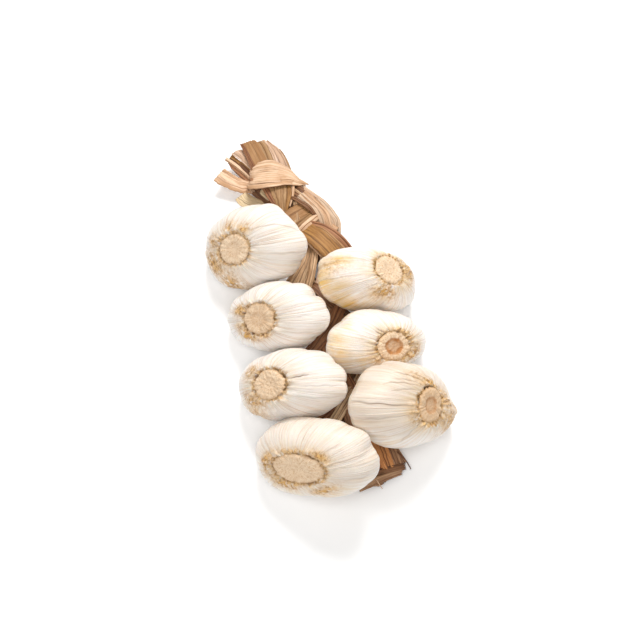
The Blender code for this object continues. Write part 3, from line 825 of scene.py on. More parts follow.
# Sheets of leaf, each between a left and a right edge that run from its hidden start
# to its free end: node, look, (thickness, camber, folds, fold height),
# (raggedness of the start, of the end), left edge, right edge
SHEETS = {
    "centre": (
        "stalk_end_centre", "tan", (0.9, 0.1, 1, 0.25), (0, 0.5),
        [(-7.5, 82, 13.2), (-9.5, 97, 13), (-10.2, 104.8, 12.4)],
        [(-0.5, 83, 13.6), (-1.6, 99, 13.2), (-3, 104.8, 12.2)]),
    "centre_fold": (
        "stalk_end_centre", "red", (0.7, 0.25, 2, 0.5), (0, 0.7),
        [(-9.8, 82, 12.2), (-10.9, 97, 12.4), (-11.6, 105, 12)],
        [(-7, 82, 13.4), (-8.9, 97, 13.6), (-10, 104.4, 13)]),
    "inner": (
        "stalk_end_inner", "olive", (0.7, 0.15, 1, 0.3), (0, 0.8),
        [(-1.6, 83, 12), (-2.4, 98, 12), (-3.6, 104.3, 11)],
        [(3.4, 83, 12.2), (2.5, 98, 11.6), (1.5, 104, 10.4)]),
    # a dark sheet as painted shade under the inner stalk end
    "inner_shade_sheet": (
        "stalk_end_inner", "dark", (0.8, 0.1, 1, 0.3), (0, 0.5),
        [(-1, 83, 9.5), (-1, 98, 9), (-1.5, 103, 8.4)], [(4, 83, 10), (3.2, 98, 9), (2.4, 102, 8.2)]),
    "right": (
        "stalk_end_right", "pink", (0.5, 0.1, 3, 0.55), (0, 1),
        [(2.4, 82, 11.8), (2, 98, 11), (0.5, 105.6, 10)],
        [(10, 82, 9.6), (9.4, 91.5, 9.4), (8.2, 97.4, 9.4), (5.6, 102, 9.4), (4, 104.6, 9.6)]),
    "right_rim": (
        "stalk_end_right", "olive", (0.5, 0.2, 1, 0.3), (0, 0.9),
        [(7, 82, 9), (7.4, 91, 8.8), (5.5, 98, 8.6)],
        [(10.8, 82, 8.6), (10.4, 91.2, 8.4), (8.6, 98.2, 8.6)]),
    "left_1": (
        "leaf_end_left_1", "pink", (0.45, 0.08, 2, 0.25), (0, 0.6),
        [(-8, 84, 9.6), (-11.5, 91.5, 9.8), (-14.5, 97.5, 9.8), (-17.6, 102, 9.4)],
        [(-5, 84, 10.5), (-8, 92.5, 10.5), (-9.8, 98, 10.4), (-11.4, 102.8, 10)]),
    "left_2": (
        "leaf_end_left_2", "gold", (0.5, -0.3, 1, 0.5), (0, 0.6),
        [(-9, 83, 7.8), (-12.5, 90, 8.4), (-15.6, 96.5, 8.2), (-19, 101.4, 7.8)],
        [(-7, 84, 8.8), (-11, 91.5, 9), (-14.4, 97.5, 8.9), (-17, 102, 8.7)]),
    # a dark sheet as painted shade in the slit under this leaf end
    "left_2_slit_shade": (
        "leaf_end_left_2", "dark", (0.4, 0.1, 1, 0.3), (0, 0.4),
        [(-9, 83, 6.8), (-13, 89, 7.2), (-16.2, 96.4, 7), (-19.2, 101, 6.8)],
        [(-6, 84, 8), (-11, 91, 8.2), (-14.6, 97, 8), (-17.4, 101.4, 7.8)]),
    "left_3": (
        "leaf_end_left_3", "pale", (0.5, 0.25, 1, 0.35), (0, 0.7),
        [(-10, 82, 5.2), (-13.5, 88, 6.3), (-17.5, 95, 6.3), (-21.6, 101.6, 5.8)],
        [(-9, 84, 6.6), (-12.5, 90, 7.3), (-16, 96.5, 7.2), (-20, 102.4, 6.8)]),
    "left_3_low": (
        "leaf_end_left_3", "red", (0.5, 0.15, 2, 0.4), (0, 0.8),
        [(-11, 80, 3.8), (-14, 85, 4.2), (-17, 91, 4.6), (-19.4, 96, 4.8)],
        [(-10, 83, 5.2), (-13, 89, 5.6), (-16.5, 95.5, 5.8), (-20.4, 100, 5.6)]),
    "left_4": (
        "leaf_end_left_4", "pale", (0.6, 0.12, 2, 0.35), (0, 0.4),
        [(-7, 76, 4.6), (-13, 77.6, 5), (-18.5, 79, 5.6), (-26.4, 84, 7.6), (-31, 89, 9)],
        [(-11.5, 82, 8), (-18.5, 88.6, 8), (-23.2, 94.8, 8.8)]),
    "stub": (
        "leaf_stub_left", "straw", (0.5, 0.06, 1, 0.2), (0, 0.3),
        [(-6, 64, 3.4), (-15, 67.4, 4), (-20.8, 72, 5.2), (-22.6, 76, 6)],
        [(-3, 67, 5.4), (-11, 73, 6), (-16.2, 78.4, 6.6)]),
    "stub_inner": (
        "leaf_stub_left", "straw", (0.6, 0.25, 1, 0.4), (0, 0.4),
        [(-3.5, 67, 6), (-7, 71, 6.8), (-9.4, 75, 8)], [(-1, 69, 7), (-4.5, 73.5, 8), (-7, 78, 9.4)]),
    # a dark sheet as painted shade between the stub's leaves
    "stub_shade_sheet": (
        "leaf_stub_left", "dark", (0.6, 0.1, 2, 0.4), (0, 0.4),
        [(-4.5, 64, 4.6), (-9, 70, 5), (-13.5, 77, 5.6)], [(0, 66, 6), (-3, 71.5, 6.6), (-7, 79, 8)]),
    "tail_1": (
        "tail_end_1", "rust", (1, 0.16, 3, 0.5), (0, 0.8),
        [(1.5, -71.5, 5), (3, -81.5, 5.2), (4.4, -91.8, 3.8)],
        [(10.8, -73.5, 6), (11.4, -83.5, 5.8), (11.4, -92.4, 4.2)]),
    "tail_1_right": (
        "tail_end_1", "brown", (1, 0.16, 3, 0.5), (0, 0.8),
        [(9, -73.5, 4.6), (10.8, -83.5, 4.6), (11.4, -92.2, 3.4)],
        [(15, -75, 5.2), (16.4, -84, 5.2), (18, -90.8, 4.2)]),
    # a dark sheet as painted shade under the tail's leaves
    "tail_1_shade_sheet": (
        "tail_end_1", "dark", (1, 0.1, 3, 0.5), (0, 2.4),
        [(1, -72, 2.4), (3, -84, 2), (5.5, -91, 1.6)],
        [(14, -74, 3), (15.6, -84, 2.6), (16.4, -91.4, 2)]),
    "tail_2": (
        "tail_end_2", "brown", (1.1, 0.24, 3, 0.5), (0, 1.4),
        [(-8, -94, 2.8), (4, -92.6, 4.4), (16.4, -92.4, 4)],
        [(-8.5, -98.2, 2), (4, -96.8, 2.6), (14.2, -95.6, 2.4)]),
    "tail_2_upper": (
        "tail_end_2", "dark", (0.9, 0.3, 2, 0.5), (0, 2.2),
        [(-2, -91, 3.4), (6, -90.4, 4.6), (17.6, -90.8, 4.4)],
        [(-2, -94, 4.2), (6, -93.6, 5), (17, -94.4, 4.4)]),
    "tail_3": (
        "tail_end_3", "brown", (1, 0.24, 2, 0.4), (0, 1.3),
        [(-8, -92, 2.4), (-4.6, -96, 2.2), (2, -98.4, 1.8)],
        [(-2, -90, 3), (1.2, -94.6, 2.8), (6.4, -96.6, 2)]),
}

# Ribbons of leaf, each along one middle line: node, look,
# (thickness, camber, folds, fold height), widths, roll, middle line
RIBBONS = {
    "top_left": (
        "strand_a", "red", (0.7, 0.2, 2, 0.4), (4.6, 4.4, 4, 3, 2), -14,
        [(-7, 77, 13), (-6, 73.5, 14.2), (-5, 67.5, 14.2), (-3.5, 61.5, 13.6), (-2, 55, 12)]),
    "top_middle": (
        "strand_a", "olive", (0.8, 0.1, 2, 0.4), (10, 9.6, 8, 5.6, 2.4), 0,
        [(0.5, 78, 14.5), (0, 72.5, 15.4), (-0.5, 67, 15.4), (-1, 62, 14.8), (-2, 55, 12.6)]),
    "top_gold": (
        "strand_a", "gold", (0.7, 0.3, 1, 0.4), (3.6, 3.4, 3.6, 3, 2), 16,
        [(5, 77, 13.6), (5, 71, 14.8), (4, 65.5, 14.8), (1.5, 60.5, 14), (-1.5, 55, 12.4)]),
    "top_pink": (
        "strand_a", "pale", (0.6, 0.2, 1, 0.3), (4, 3.4, 3, 2), 30,
        [(8, 77, 12.6), (7.3, 71, 13.8), (5.6, 64.8, 13.8), (2.6, 59.5, 12.6)]),
    "loop_outer": (
        "strand_b", "cream", (0.6, 0.14, 2, 0.35), (4.4, 4.6, 5, 5, 5, 5.6, 5), 22,
        [(9, 78, 7.5), (11.6, 71, 9.6), (15.6, 62.8, 12.2), (19.6, 56, 12.8), (22.2, 50, 11.4),
         (23.6, 44.8, 9), (22.4, 40, 6.4)]),
    "loop_second": (
        "strand_b", "pale", (0.7, 0.16, 2, 0.4), (4.4, 4.6, 5, 5, 5, 4), 10,
        [(7.5, 77, 8.5), (10, 69.6, 10.8), (12.8, 61.6, 14.4), (16.4, 55.4, 13.9), (19, 49.6, 12.2),
         (19.6, 42, 9)]),
    "loop_third": (
        "strand_b", "cream", (0.7, 0.2, 2, 0.4), (4, 4.2, 4.4, 4.2, 4, 3), 4,
        [(6, 75, 9), (8.4, 67.8, 11.2), (10.6, 61.4, 14.2), (13.8, 55.6, 13.8), (16, 49.5, 12.2),
         (16.4, 42, 8.6)]),
    "loop_inner": (
        "strand_b", "pale", (0.7, 0.2, 1, 0.3), (1.2, 1.8, 2, 2, 2), -8,
        [(9, 63, 12.6), (11.4, 58, 13.6), (13.6, 52.6, 13), (14.6, 48.5, 11.6), (14, 42, 8)]),
    "loop_end": (
        "strand_b", "pale", (0.6, 0.1, 2, 0.35), (5, 5.4, 5.6, 5), -6,
        [(11, 50.5, 7.5), (15, 48.6, 9), (19.4, 45.2, 9.8), (23.6, 41, 9.2)]),
    # a dark sheet as painted shade in the gap under the loop
    "loop_shade_sheet": (
        "strand_b", "dark", (0.7, 0.2, 1, 0.4), (1.6, 2.2, 2, 2.6, 1.8), 0,
        [(4, 64.5, 13.6), (6.6, 61.8, 15.4), (9, 58.4, 15.6), (12, 54.6, 15.2), (14, 51, 13)]),
    "loop_flap": (
        "strand_b", "pink", (0.5, 0.3, 1, 0.3), (2.4, 2.4, 2.2, 1.6, 0.6), 30,
        [(8.6, 76, 8), (11, 70.6, 11), (14, 65, 13.6), (17.4, 60.4, 13.8), (19.6, 57.4, 13.4)]),
    "cross_wide": (
        "strand_c", "tan", (0.8, 0.1, 1, 0.35), (8, 8.4, 8.6, 8.2, 6), 0,
        [(17, 59.5, 8), (12.4, 57, 11.6), (6.5, 54.8, 13.4), (0, 52.4, 13.8), (-6, 50, 11)]),
    "cross_olive": (
        "strand_c", "olive", (0.7, 0.2, 1, 0.35), (3.4, 3.6, 3.6, 3.4, 3), -6,
        [(16.5, 55, 8), (13.2, 52.3, 11.8), (8.5, 49.4, 13.8), (3.5, 47, 13.8), (-2, 45, 11.4)]),
    "cross_pink": (
        "strand_c", "pale", (0.7, 0.24, 1, 0.3), (3, 3.4, 3.8, 3.6, 3), -12,
        [(17.5, 52.4, 8.4), (14.5, 49.6, 12.4), (9.6, 46.2, 14.8), (5, 43.4, 15.2), (0.5, 41, 12.8)]),
    "wide_upper": (
        "strand_a", "red", (0.8, 0.2, 2, 0.45), (3, 3.6, 4.2, 4.4, 4, 3), 14,
        [(6, 48, 12), (10.4, 45.2, 14.2), (16, 40.4, 15.4), (21, 34, 15), (24.6, 28, 12.6),
         (28, 21, 8.8)]),
    "wide_middle": (
        "strand_a", "gold", (0.9, 0.1, 1, 0.4), (9, 10, 10.4, 10.2, 9.6, 8), 0,
        [(3, 47, 12.5), (6.5, 42, 15), (9.8, 36.4, 16.8), (13.4, 29.5, 16.8), (16.6, 22.5, 15),
         (19.5, 15, 11.4)]),
    "wide_strip": (
        "strand_a", "tan", (0.7, 0.2, 1, 0.3), (1.4, 1.8, 2.4, 2.6, 2.4), 10,
        [(11, 44, 13.6), (15, 39.4, 15.6), (18.8, 32.4, 15.6), (22, 26, 14), (25, 19.5, 10.6)]),
    "wide_lower": (
        "strand_a", "pale", (0.6, 0.2, 1, 0.3), (1.4, 1.6, 1.8, 1.8, 1.4), -20,
        [(2.4, 43, 12), (4.4, 39, 13.8), (6.6, 32.6, 14.4), (9.8, 26, 14), (13.4, 19, 11.6)]),
    "gap_upper_right": (
        "strand_c", "dark", (0.9, 0.2, 2, 0.5), (5, 5.4, 5.6, 5.2, 4.6), 0,
        [(1, 14, 8), (2.8, 11, 10), (7.2, 1.5, 10.4), (12.5, -7.5, 9), (18, -17, 6)]),
    "gap_upper_left": (
        "strand_a", "red", (0.9, 0.16, 3, 0.5), (6, 7, 7.6, 7.4, 6), 0,
        [(15, 4, 6.5), (12, -1.5, 9.6), (4.5, -11, 11), (-5, -18.5, 9.6), (-15, -24.5, 6)]),
    "gap_upper_middle": (
        "strand_b", "red", (0.8, 0.2, 2, 0.5), (4, 5.4, 5.6, 5), -12,
        [(5, 2, 6), (3, -7, 8.4), (-1, -18.5, 8.8), (-7, -30, 6.4)]),
    "gap_lower_right": (
        "strand_b", "red", (0.9, 0.2, 2, 0.5), (4.6, 5.2, 5.2, 4.6), 0,
        [(-2, -27, 6.5), (1, -36, 9), (3.4, -47, 9.6), (6, -60, 7.4)]),
    "gap_lower_left": (
        "strand_c", "grey", (0.9, 0.2, 3, 0.5), (5, 5.8, 6, 5.4), 0,
        [(13, -36, 5.4), (9.5, -43, 8.2), (0.5, -52, 9.8), (-10, -61, 6.6)]),
    "gap_lower_side": (
        "strand_b", "red", (0.7, 0.16, 3, 0.5), (6, 7.4, 8, 7), 0,
        [(-2, -48, 6), (-8, -53, 6.6), (-14, -56, 5.6), (-21, -58, 4)]),
    "tail_fibre": (
        "tail_end_1", "dark", (0.5, 0.2, 1, 0.1), (0.9, 0.8, 0.6, 0.4), 0,
        [(14.5, -84, 4.6), (16.6, -87.5, 5), (18, -90.8, 4.2), (19, -94.5, 3)]),
    "tail_hair": (
        "tail_end_3", "pale", (0.4, 0.2, 1, 0.1), (0.6, 0.5, 0.5, 0.3), 0,
        [(0, -92, 4.6), (1, -95.5, 4.4), (1.8, -98, 3.4), (2.6, -99.8, 2.4)]),
    "gap_lower_middle": (
        "strand_a", "dark", (0.8, 0.2, 2, 0.5), (4.6, 5.2, 5.2, 4.6), 8,
        [(0, -40, 6.4), (-1.5, -49, 8), (-2.5, -58, 8.2), (-2, -69, 6.4)]),
    "low_left": (
        "strand_b", "grey", (0.7, 0.14, 3, 0.4), (4.4, 4.4, 5, 7.6, 9), -12,
        [(7.6, 38, 11), (5.4, 33.6, 11.8), (1.6, 26.5, 11.2), (-4.4, 20.5, 9), (-10.5, 15, 6)]),
    "low_middle": (
        "strand_b", "grey", (0.9, 0.16, 3, 0.5), (4, 4.2, 4.2, 4.2, 4.2), 0,
        [(11, 37, 11.4), (8.4, 31.8, 13), (5.2, 24.6, 13), (1.6, 17.4, 11), (-4, 9, 7.4)]),
    "low_right": (
        "strand_b", "pink", (0.7, 0.2, 1, 0.35), (2.3, 2.6, 2.7, 2.7, 2.6), 16,
        [(13, 33.5, 10.2), (11.4, 28, 11.4), (8.2, 21, 11.2), (4.2, 14, 9.2), (-1.5, 6, 6.4)]),
}


def edge_noise(seed, along, waves):
    return ring_noise(seed, np.asarray(along) * math.pi, waves)


def both_faces(values):
    """A row's values for the front of a leaf, then back again for its other face."""
    values = np.concatenate([values, values[:, ::-1]], axis=1)
    return values.reshape(-1, 3) if values.ndim == 3 else values.reshape(-1)


def ribbon_edges(middle, widths, roll):
    """Left and right edges of a ribbon, its face tilted by roll round its middle line."""
    steps = np.linspace(0, 1, 41)
    path = spline(middle, len(steps))
    tangent = unit(np.gradient(path, axis=0))
    side = unit(np.cross(np.array((0.0, 0.0, 1.0)), tangent))
    up = np.cross(tangent, side)
    turn = math.radians(roll)
    across = side * math.cos(turn) + up * math.sin(turn)
    half = np.interp(steps, np.linspace(0, 1, len(widths)), widths)[:, None] / 2.0
    return (path + across * half)[::4], (path - across * half)[::4]


def leaf_folds(seed, folds, fold_height, s, t):
    """Lengthwise folds of a leaf: their height in mm, painted shade in the creases and changes of tone."""
    draw = np.random.default_rng(seed)
    height, crease_shade, tone = (np.zeros(t.shape) for _ in range(3))
    for fold in range(folds):
        middle = (fold + draw.uniform(0.35, 0.65)) / folds if folds > 1 else draw.uniform(0.3, 0.7)
        line = middle + draw.uniform(-0.12, 0.12) * (t - 0.5)
        line = line + 0.015 * edge_noise(seed + 11 + fold, t * 2, 5)
        way = 1.0 if draw.uniform() < 0.5 else -1.0
        side = (s - line) * way
        height += fold_height * (smooth_step(-0.05, 0.05, side) - 0.5)
        crease_shade = np.maximum(crease_shade, np.exp(-((side + 0.035) / 0.028) ** 2) * draw.uniform(0.45, 0.95))
        tone += draw.uniform(-0.35, 0.35) * smooth_step(-0.02, 0.02, s - line)
    return height, crease_shade, tone


def make_sheet(name, node, material, form, ragged, left, right, seed):
    """A thin leaf between two edges, with lengthwise folds and fibres and ragged ends."""
    thickness, camber, folds, fold_height = form
    spots = np.linspace(0.0, 1.0, 160)
    left, right = spline(left, len(spots)), spline(right, len(spots))
    length = np.linalg.norm(np.diff((left + right) / 2, axis=0), axis=1).sum()
    width = np.linalg.norm(left - right, axis=1).mean()
    s = np.linspace(0.0, 1.0, LEAF_COLUMNS)
    rows = np.linspace(0.0, 1.0, LEAF_ROWS)[:, None]
    jags = [depth * np.abs(edge_noise(seed + end, s * 2, 22)) / length for end, depth in enumerate(ragged, 1)]
    t = jags[0] + (1.0 - jags[1] - jags[0]) * rows
    lefts, rights = (np.stack([np.interp(t, spots, edge[:, axis]) for axis in range(3)], -1)
                     for edge in (left, right))
    wavy = s + 0.012 * edge_noise(seed + 5, t * 2, 14) * np.where(s < 0.5, 1 - 2 * s, 2 * s - 1)
    points = lefts + (rights - lefts) * wavy[..., None]
    normal = unit(np.cross(np.gradient(points, axis=0), np.gradient(points, axis=1)))
    if normal.sum((0, 1))[2] < 0.0:
        normal = -normal
    span = np.linalg.norm(rights - lefts, axis=-1)
    grain = np.stack([s * span, t * length, np.full_like(span, seed * 3.1)], -1)
    height, crease_shade, tone = leaf_folds(seed, folds, fold_height, s, t)
    height = height + camber * 4.0 * s * (1.0 - s) * span * 0.5
    height = height + 0.05 * np.sin(s * width * 4.6 + 1.5 * edge_noise(seed + 7, t * 2, 3) + seed)
    height = height + 0.12 * wave_noise(seed + 8, grain * (1.0, 0.08, 0.0), 1.5)
    height = height + 0.25 * wave_noise(seed + 9, grain * (0.25, 0.22, 0.0), 1.0)
    body = thickness * (1.0 - 0.6 * np.abs(2 * s - 1) ** 4) / 2.0
    top = points + normal * (height + body)[..., None]
    bottom = points + normal * (height - body)[..., None]
    ring = np.concatenate([top, bottom[:, ::-1]], axis=1)
    ring[..., 2] = np.maximum(ring[..., 2], 0.05)
    values = {
        "grain": grain,
        "crease_shade": crease_shade,
        "tone": tone + 0.1,
        "edge": np.maximum(np.abs(2 * s - 1) ** 6 + 0 * t, smooth_step(0.94, 1.0, rows)),
    }
    attributes = {key: both_faces(value) for key, value in values.items()}
    faces = tube_faces(LEAF_ROWS, 2 * LEAF_COLUMNS)
    piece = add_mesh(name, ring.reshape(-1, 3), faces, material, attributes)
    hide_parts(node)
    return piece


def build_leaves(looks):
    pieces = []
    seed = 300
    for name, (node, look, form, ragged, left, right) in SHEETS.items():
        piece = make_sheet("leaf_" + name, node, looks[look], form, ragged, left, right, seed)
        pieces.append((piece, node))
        seed += 17
    for name, (node, look, form, widths, roll, middle) in RIBBONS.items():
        edges = ribbon_edges(middle, widths, roll)
        piece = make_sheet("leaf_" + name, node, looks[look], form, (0.0, 0.0), *edges, seed)
        pieces.append((piece, node))
        seed += 17
    return pieces


# ---- plait ---------------------------------------------------------------------
PLAIT_TOP, PLAIT_END = 69.9, -79.3
PLAIT_PITCH = 96.0
PLAIT_PHASE = 165.0
PLAIT_X, PLAIT_SHIFT = 1.2, 2.7
BOW, BOW_Y, BOW_LENGTH = 9.0, 42.5, 23.0
OPEN_PLAIT = (9.0, 4.8, 4.4, 2.3)     # swing across, swing up, half width, half thickness
TIGHT_PLAIT = (5.4, 3.0, 2.6, 1.4)
WRAPPED_PLAIT = (7.0, 3.8, 3.4, 2.0)
WRAPPED_LIFT = 2.2
# plies of a strand: shift across and up as shares of its half sizes, look; the side and lower plies are dark
# as painted shade
PLIES = ((-0.5, 0.0, "dark"), (0.0, 0.30, "grey"), (0.5, 0.05, "dark"), (0.0, -0.45, "dark"))


def plait_sizes(y):
    opening = smooth_step(24.0, 44.0, y)[..., None]
    wrapping = smooth_step(52.0, 67.0, y)[..., None]
    sizes = np.array(TIGHT_PLAIT) * (1 - opening) + np.array(OPEN_PLAIT) * opening
    return sizes * (1 - wrapping) + np.array(WRAPPED_PLAIT) * wrapping


def strand_line(index, y):
    """Middle line of one strand of the plait, with its half width and thickness."""
    y = np.asarray(y, float) - PLAIT_SHIFT
    across, upward, half_width, half_thick = np.moveaxis(plait_sizes(y), -1, 0)
    phase = np.radians(PLAIT_PHASE - 360.0 * y / PLAIT_PITCH + 120.0 * index)
    bow = BOW * np.exp(-((y - BOW_Y) / BOW_LENGTH) ** 2)
    lift = WRAPPED_LIFT * smooth_step(52.0, 67.0, y)
    x = PLAIT_X + bow + across * np.sin(phase)
    z = upward + half_thick + 0.3 + lift + upward * np.sin(2.0 * phase)
    return np.stack([x, y + PLAIT_SHIFT, z], -1), half_width, half_thick


def build_plait(looks):
    """Three strands, each a bundle of folded leaves: a grey top ply, with side and lower plies dark as
    painted shade.
    """
    pieces = []
    y = np.linspace(PLAIT_TOP, PLAIT_END, 60)
    for index, node in enumerate(("strand_a", "strand_b", "strand_c")):
        middle, half_width, half_thick = strand_line(index, y)
        tangent = unit(np.gradient(middle, axis=0))
        side = unit(np.stack([-tangent[:, 1], tangent[:, 0], np.zeros(len(y))], -1))
        up = np.cross(tangent, side)
        up = up * np.sign(up[:, 2:3])
        half = (0.62 * half_width)[:, None]
        for ply, (shift, raised, look) in enumerate(PLIES):
            centre = middle + side * (shift * half_width)[:, None] + up * (raised * half_thick)[:, None]
            tilt = unit(side - up * (1.1 * shift))
            form = (1.3, 0.30 if raised >= 0 else -0.30, 2, 0.45)
            left, right = (centre - tilt * half)[::2], (centre + tilt * half)[::2]
            name = f"leaf_plait_{node}_{ply + 1}"
            seed = 900 + 31 * index + 7 * ply
            piece = make_sheet(name, node, looks[look], form, (0.0, 1.0), left, right, seed)
            pieces.append((piece, node))
    return pieces


# ---- band ----------------------------------------------------------------------
BAND_MIDDLE = np.array((1.6, 78.3, 9.3))
BAND_TURN = -20.5
BAND_HALF = (15.0, 8.4)               # half width and half height
BAND_THICKNESS = 0.55
# name, look, (from, to angle), (from, to share of the width), lift in mm, seed, columns
BAND_LAYERS = (
    ("wrap", "pale", (-180, 180), (0.0, 1.0), 0.0, 501, 200),
    ("hem", "pale", (58, 192), (-0.06, 0.12), 1.0, 521, 120),
    ("under", "red", (150, 200), (0.0, 0.85), -0.5, 531, 60),
)
# loose tip of the band, as a row of SHEETS without its node and look
BAND_TIP = (
    (0.5, 0.2, 1, 0.3), (0.0, 0.4),
    [(3, 76, 17.6), (9, 75, 16), (13, 73.6, 13.6), (16.6, 71.0, 11.2)],
    [(1.4, 70.6, 18), (7, 71, 16.2), (12, 70.8, 13.6), (16.4, 70.2, 11)],
)
# angle round the band (0 right, 90 top, 180 left): lower and upper edge along it
BAND_EDGES = [(-180, -4.7, 9.2), (-150, -6, 7.5), (-120, -7, 7), (-90, -7, 6), (-60, -6.4, 4.4),
              (-30, -4.6, 2), (0, -2.4, 0.2), (15, -3.1, -0.6), (30, -4.4, -0.4), (45, -5.4, 1.3),
              (60, -6, 4.4), (75, -6.8, 5.9), (90, -8, 7.7), (105, -8.5, 8.8), (120, -8.8, 8.7),
              (150, -7.6, 8), (180, -4.7, 9.2)]


def band_points(angle, along, reach):
    """Points of the band's ellipse, reach mm outside it."""
    turn = math.radians(BAND_TURN)
    across = np.array((math.cos(turn), math.sin(turn), 0.0))
    forward = np.array((-math.sin(turn), math.cos(turn), 0.0))
    points = (BAND_MIDDLE + across * ((BAND_HALF[0] + reach) * np.cos(angle))[..., None]
              + forward * along[..., None]
              + np.array((0.0, 0.0, 1.0)) * ((BAND_HALF[1] + reach) * np.sin(angle))[..., None])
    points[..., 2] = np.maximum(points[..., 2], 0.05)
    return points


def band_edges(degrees):
    """Where the band's lower and upper edges lie along it, at each angle round it."""
    turns, lower, upper = np.array(BAND_EDGES).T
    return np.interp(degrees, turns, lower), np.interp(degrees, turns, upper)


def softened(values):
    """Values averaged with their neighbours."""
    kernel = np.hanning(13) / np.hanning(13).sum()
    return np.convolve(np.pad(values, 6, "edge"), kernel, "valid")


def make_band_layer(looks, name, look, turns, shares, lift, seed, columns):
    """One layer of the wrapped leaf, between shares of the band's width."""
    rows = 36
    degrees = np.linspace(*turns, columns)
    lower, upper = (softened(edge) for edge in band_edges(degrees))
    s = np.linspace(0.0, 1.0, rows)[:, None]
    share = shares[0] + (shares[1] - shares[0]) * s + np.zeros(columns)
    angle = np.radians(degrees)[None, :] + 0 * s
    along = lower + (upper - lower) * share + 0.15 * ring_noise(seed, angle, 26) * np.abs(2 * s - 1) ** 3

    def cloth_noise(number, stretch, turn=1.0):
        spot = [share * stretch, np.sin(angle) * turn, np.cos(angle) * turn]
        return wave_noise(seed + number, np.stack(spot, -1), 1.0)

    tuck = -0.9 * smooth_step(0.80, 1.0, s) - 0.25 * smooth_step(0.2, 0.0, s)
    reach = 0.45 * cloth_noise(1, 9) + 0.16 * cloth_noise(2, 30, 2) + tuck + lift
    outer = band_points(angle, along, reach)
    inner = band_points(angle, along, reach - BAND_THICKNESS)
    ring = np.concatenate([outer, inner[::-1]], axis=0).transpose(1, 0, 2)
    # painted shade: dark creases of the band, dark edges along the hem and a shadow line beside the hem
    crease_shade = smooth_step(0.55, 0.9, cloth_noise(3, 26, 0.7)) * 0.5
    if lift > 0.0:
        crease_shade = np.maximum(crease_shade, 0.8 * smooth_step(0.66, 1.0, np.abs(2 * s - 1)))
    if lift == 0.0:
        shadow = np.exp(-((share - 0.145) / 0.024) ** 2) * smooth_step(50, 80, degrees)
        crease_shade = np.maximum(crease_shade, shadow * np.clip(0.7 + 0.5 * ring_noise(seed + 6, angle, 12), 0, 1))
    cloud = round_coords(angle, share * 0) * 1.5 + share[..., None] * 2
    values = {
        "grain": np.stack([share * 14, angle * 12, 0 * angle + seed], -1),
        "crease_shade": crease_shade,
        "tone": 0.45 * wave_noise(seed + 4, cloud, 1.0),
        "edge": np.abs(2 * s - 1) ** 8 + 0 * angle,
    }
    attributes = {key: both_faces(value.swapaxes(0, 1)) for key, value in values.items()}
    faces = tube_faces(columns, 2 * rows)
    piece = add_mesh("band_" + name, ring.reshape(-1, 3), faces, looks[look], attributes)
    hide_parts("wrap_band")
    return piece


def make_band_bundle(material):
    """Bundle of leaves that fills the band, in the dark look as painted shade inside it."""
    rows, columns = 12, 60
    degrees = np.linspace(-180, 180, columns, endpoint=False)
    lower, upper = band_edges(degrees)
    lower, upper = lower + 1.0, upper - 1.0
    share = np.linspace(0.0, 1.0, rows)[:, None]
    angle = np.radians(degrees)[None, :] + 0 * share
    along = lower + (np.maximum(upper, lower + 0.2) - lower) * share
    points = band_points(angle, along, -1.6 + 0.3 * ring_noise(551, angle, 20))
    faces = grid_faces(rows, columns, True)
    last = (rows - 1) * columns
    faces += [tuple(range(columns))[::-1], tuple(range(last, last + columns))]
    attributes = {"grain": np.stack([angle * 10, along, 0 * along], -1).reshape(-1, 3)}
    for key in ("crease_shade", "tone", "edge"):
        attributes[key] = np.zeros(rows * columns)
    piece = add_mesh("band_bundle_shade", points.reshape(-1, 3), faces, material, attributes)
    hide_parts("wrap_band")
    return piece


def build_band(looks):
    """The wrapped leaf, its folded hem, its loose tip and the bundle it holds."""
    pieces = [make_band_layer(looks, *layer) for layer in BAND_LAYERS]
    pieces.append(make_sheet("leaf_band_tip", "wrap_band", looks["pale"], *BAND_TIP, 541))
    pieces.append(make_band_bundle(looks["dark"]))
    return [(piece, "wrap_band") for piece in pieces]


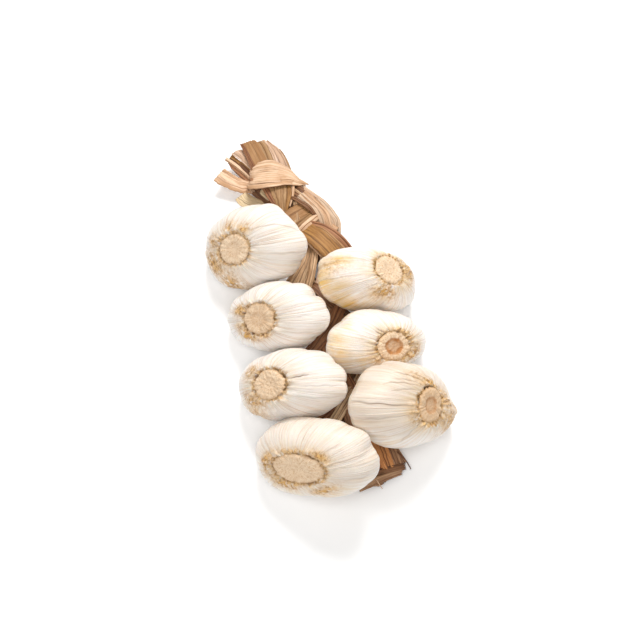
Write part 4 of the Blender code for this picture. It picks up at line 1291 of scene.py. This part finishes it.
# ---- stage, light and camera -----------------------------------------------------
def build_stage():
    n = Nodes("floor", 0.9, Base_Color=(0.93, 0.93, 0.93, 1.0), Emission_Color=(1.0, 1.0, 1.0, 1.0),
              Emission_Strength=0.10)
    half = 1500.0
    corners = [(-half, -half, 0), (half, -half, 0), (half, half, 0), (-half, half, 0)]
    floor = add_mesh("floor", corners, [(0, 1, 2, 3)], n.material, closed=False)


def add_area(name, place, energy, size):
    """A square soft light, aimed at the middle of the braid."""
    light = bpy.data.lights.new(name, "AREA")
    light.energy = energy
    light.size = size * MM
    lamp = bpy.data.objects.new(name, light)
    lamp.location = Vector(place) * MM
    aim = (Vector((0.0, 0.0, 15.0)) - Vector(place)).normalized()
    lamp.rotation_euler = aim.to_track_quat("-Z", "Y").to_euler()
    bpy.context.scene.collection.objects.link(lamp)


def build_lights():
    world = bpy.data.worlds.new("studio")
    bpy.context.scene.world = world
    world.use_nodes = True
    back = world.node_tree.nodes["Background"]
    back.inputs["Color"].default_value = (1.0, 0.99, 0.975, 1.0)
    back.inputs["Strength"].default_value = 0.39
    add_area("key", (190, 380, 680), 5.8, 300)
    add_area("front", (-150, -330, 780), 3.3, 420)
    view = bpy.context.scene.view_settings
    view.view_transform = "Standard"
    view.look = "None"
    view.exposure = 0.0


def build_camera():
    turn, rise = math.radians(VIEW_AZIMUTH), math.radians(VIEW_HEIGHT)
    back = Vector((math.sin(turn) * math.cos(rise), -math.cos(turn) * math.cos(rise), math.sin(rise)))
    right = Vector((math.cos(turn), math.sin(turn), 0.0))
    up = back.cross(right)
    distance = LENS / SENSOR * VIEW_WIDTH
    place = (Vector(TARGET) + back * distance) * MM
    lens = bpy.data.cameras.new("camera")
    lens.lens = LENS
    lens.sensor_width = SENSOR
    lens.clip_start = 0.01
    camera = bpy.data.objects.new("camera", lens)
    bpy.context.scene.collection.objects.link(camera)
    turned = Matrix((right, up, back)).transposed().to_4x4()
    camera.matrix_world = Matrix.Translation(place) @ turned
    bpy.context.scene.camera = camera


build_camera()
pieces = build_bulbs()
looks = {look: leaf_material(look) for look in LEAF_LOOKS}
for piece, node in build_leaves(looks) + build_plait(looks) + build_band(looks):
    pieces.append(piece)
build_stage()
build_lights()
for piece in pieces:
    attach(piece, "root")
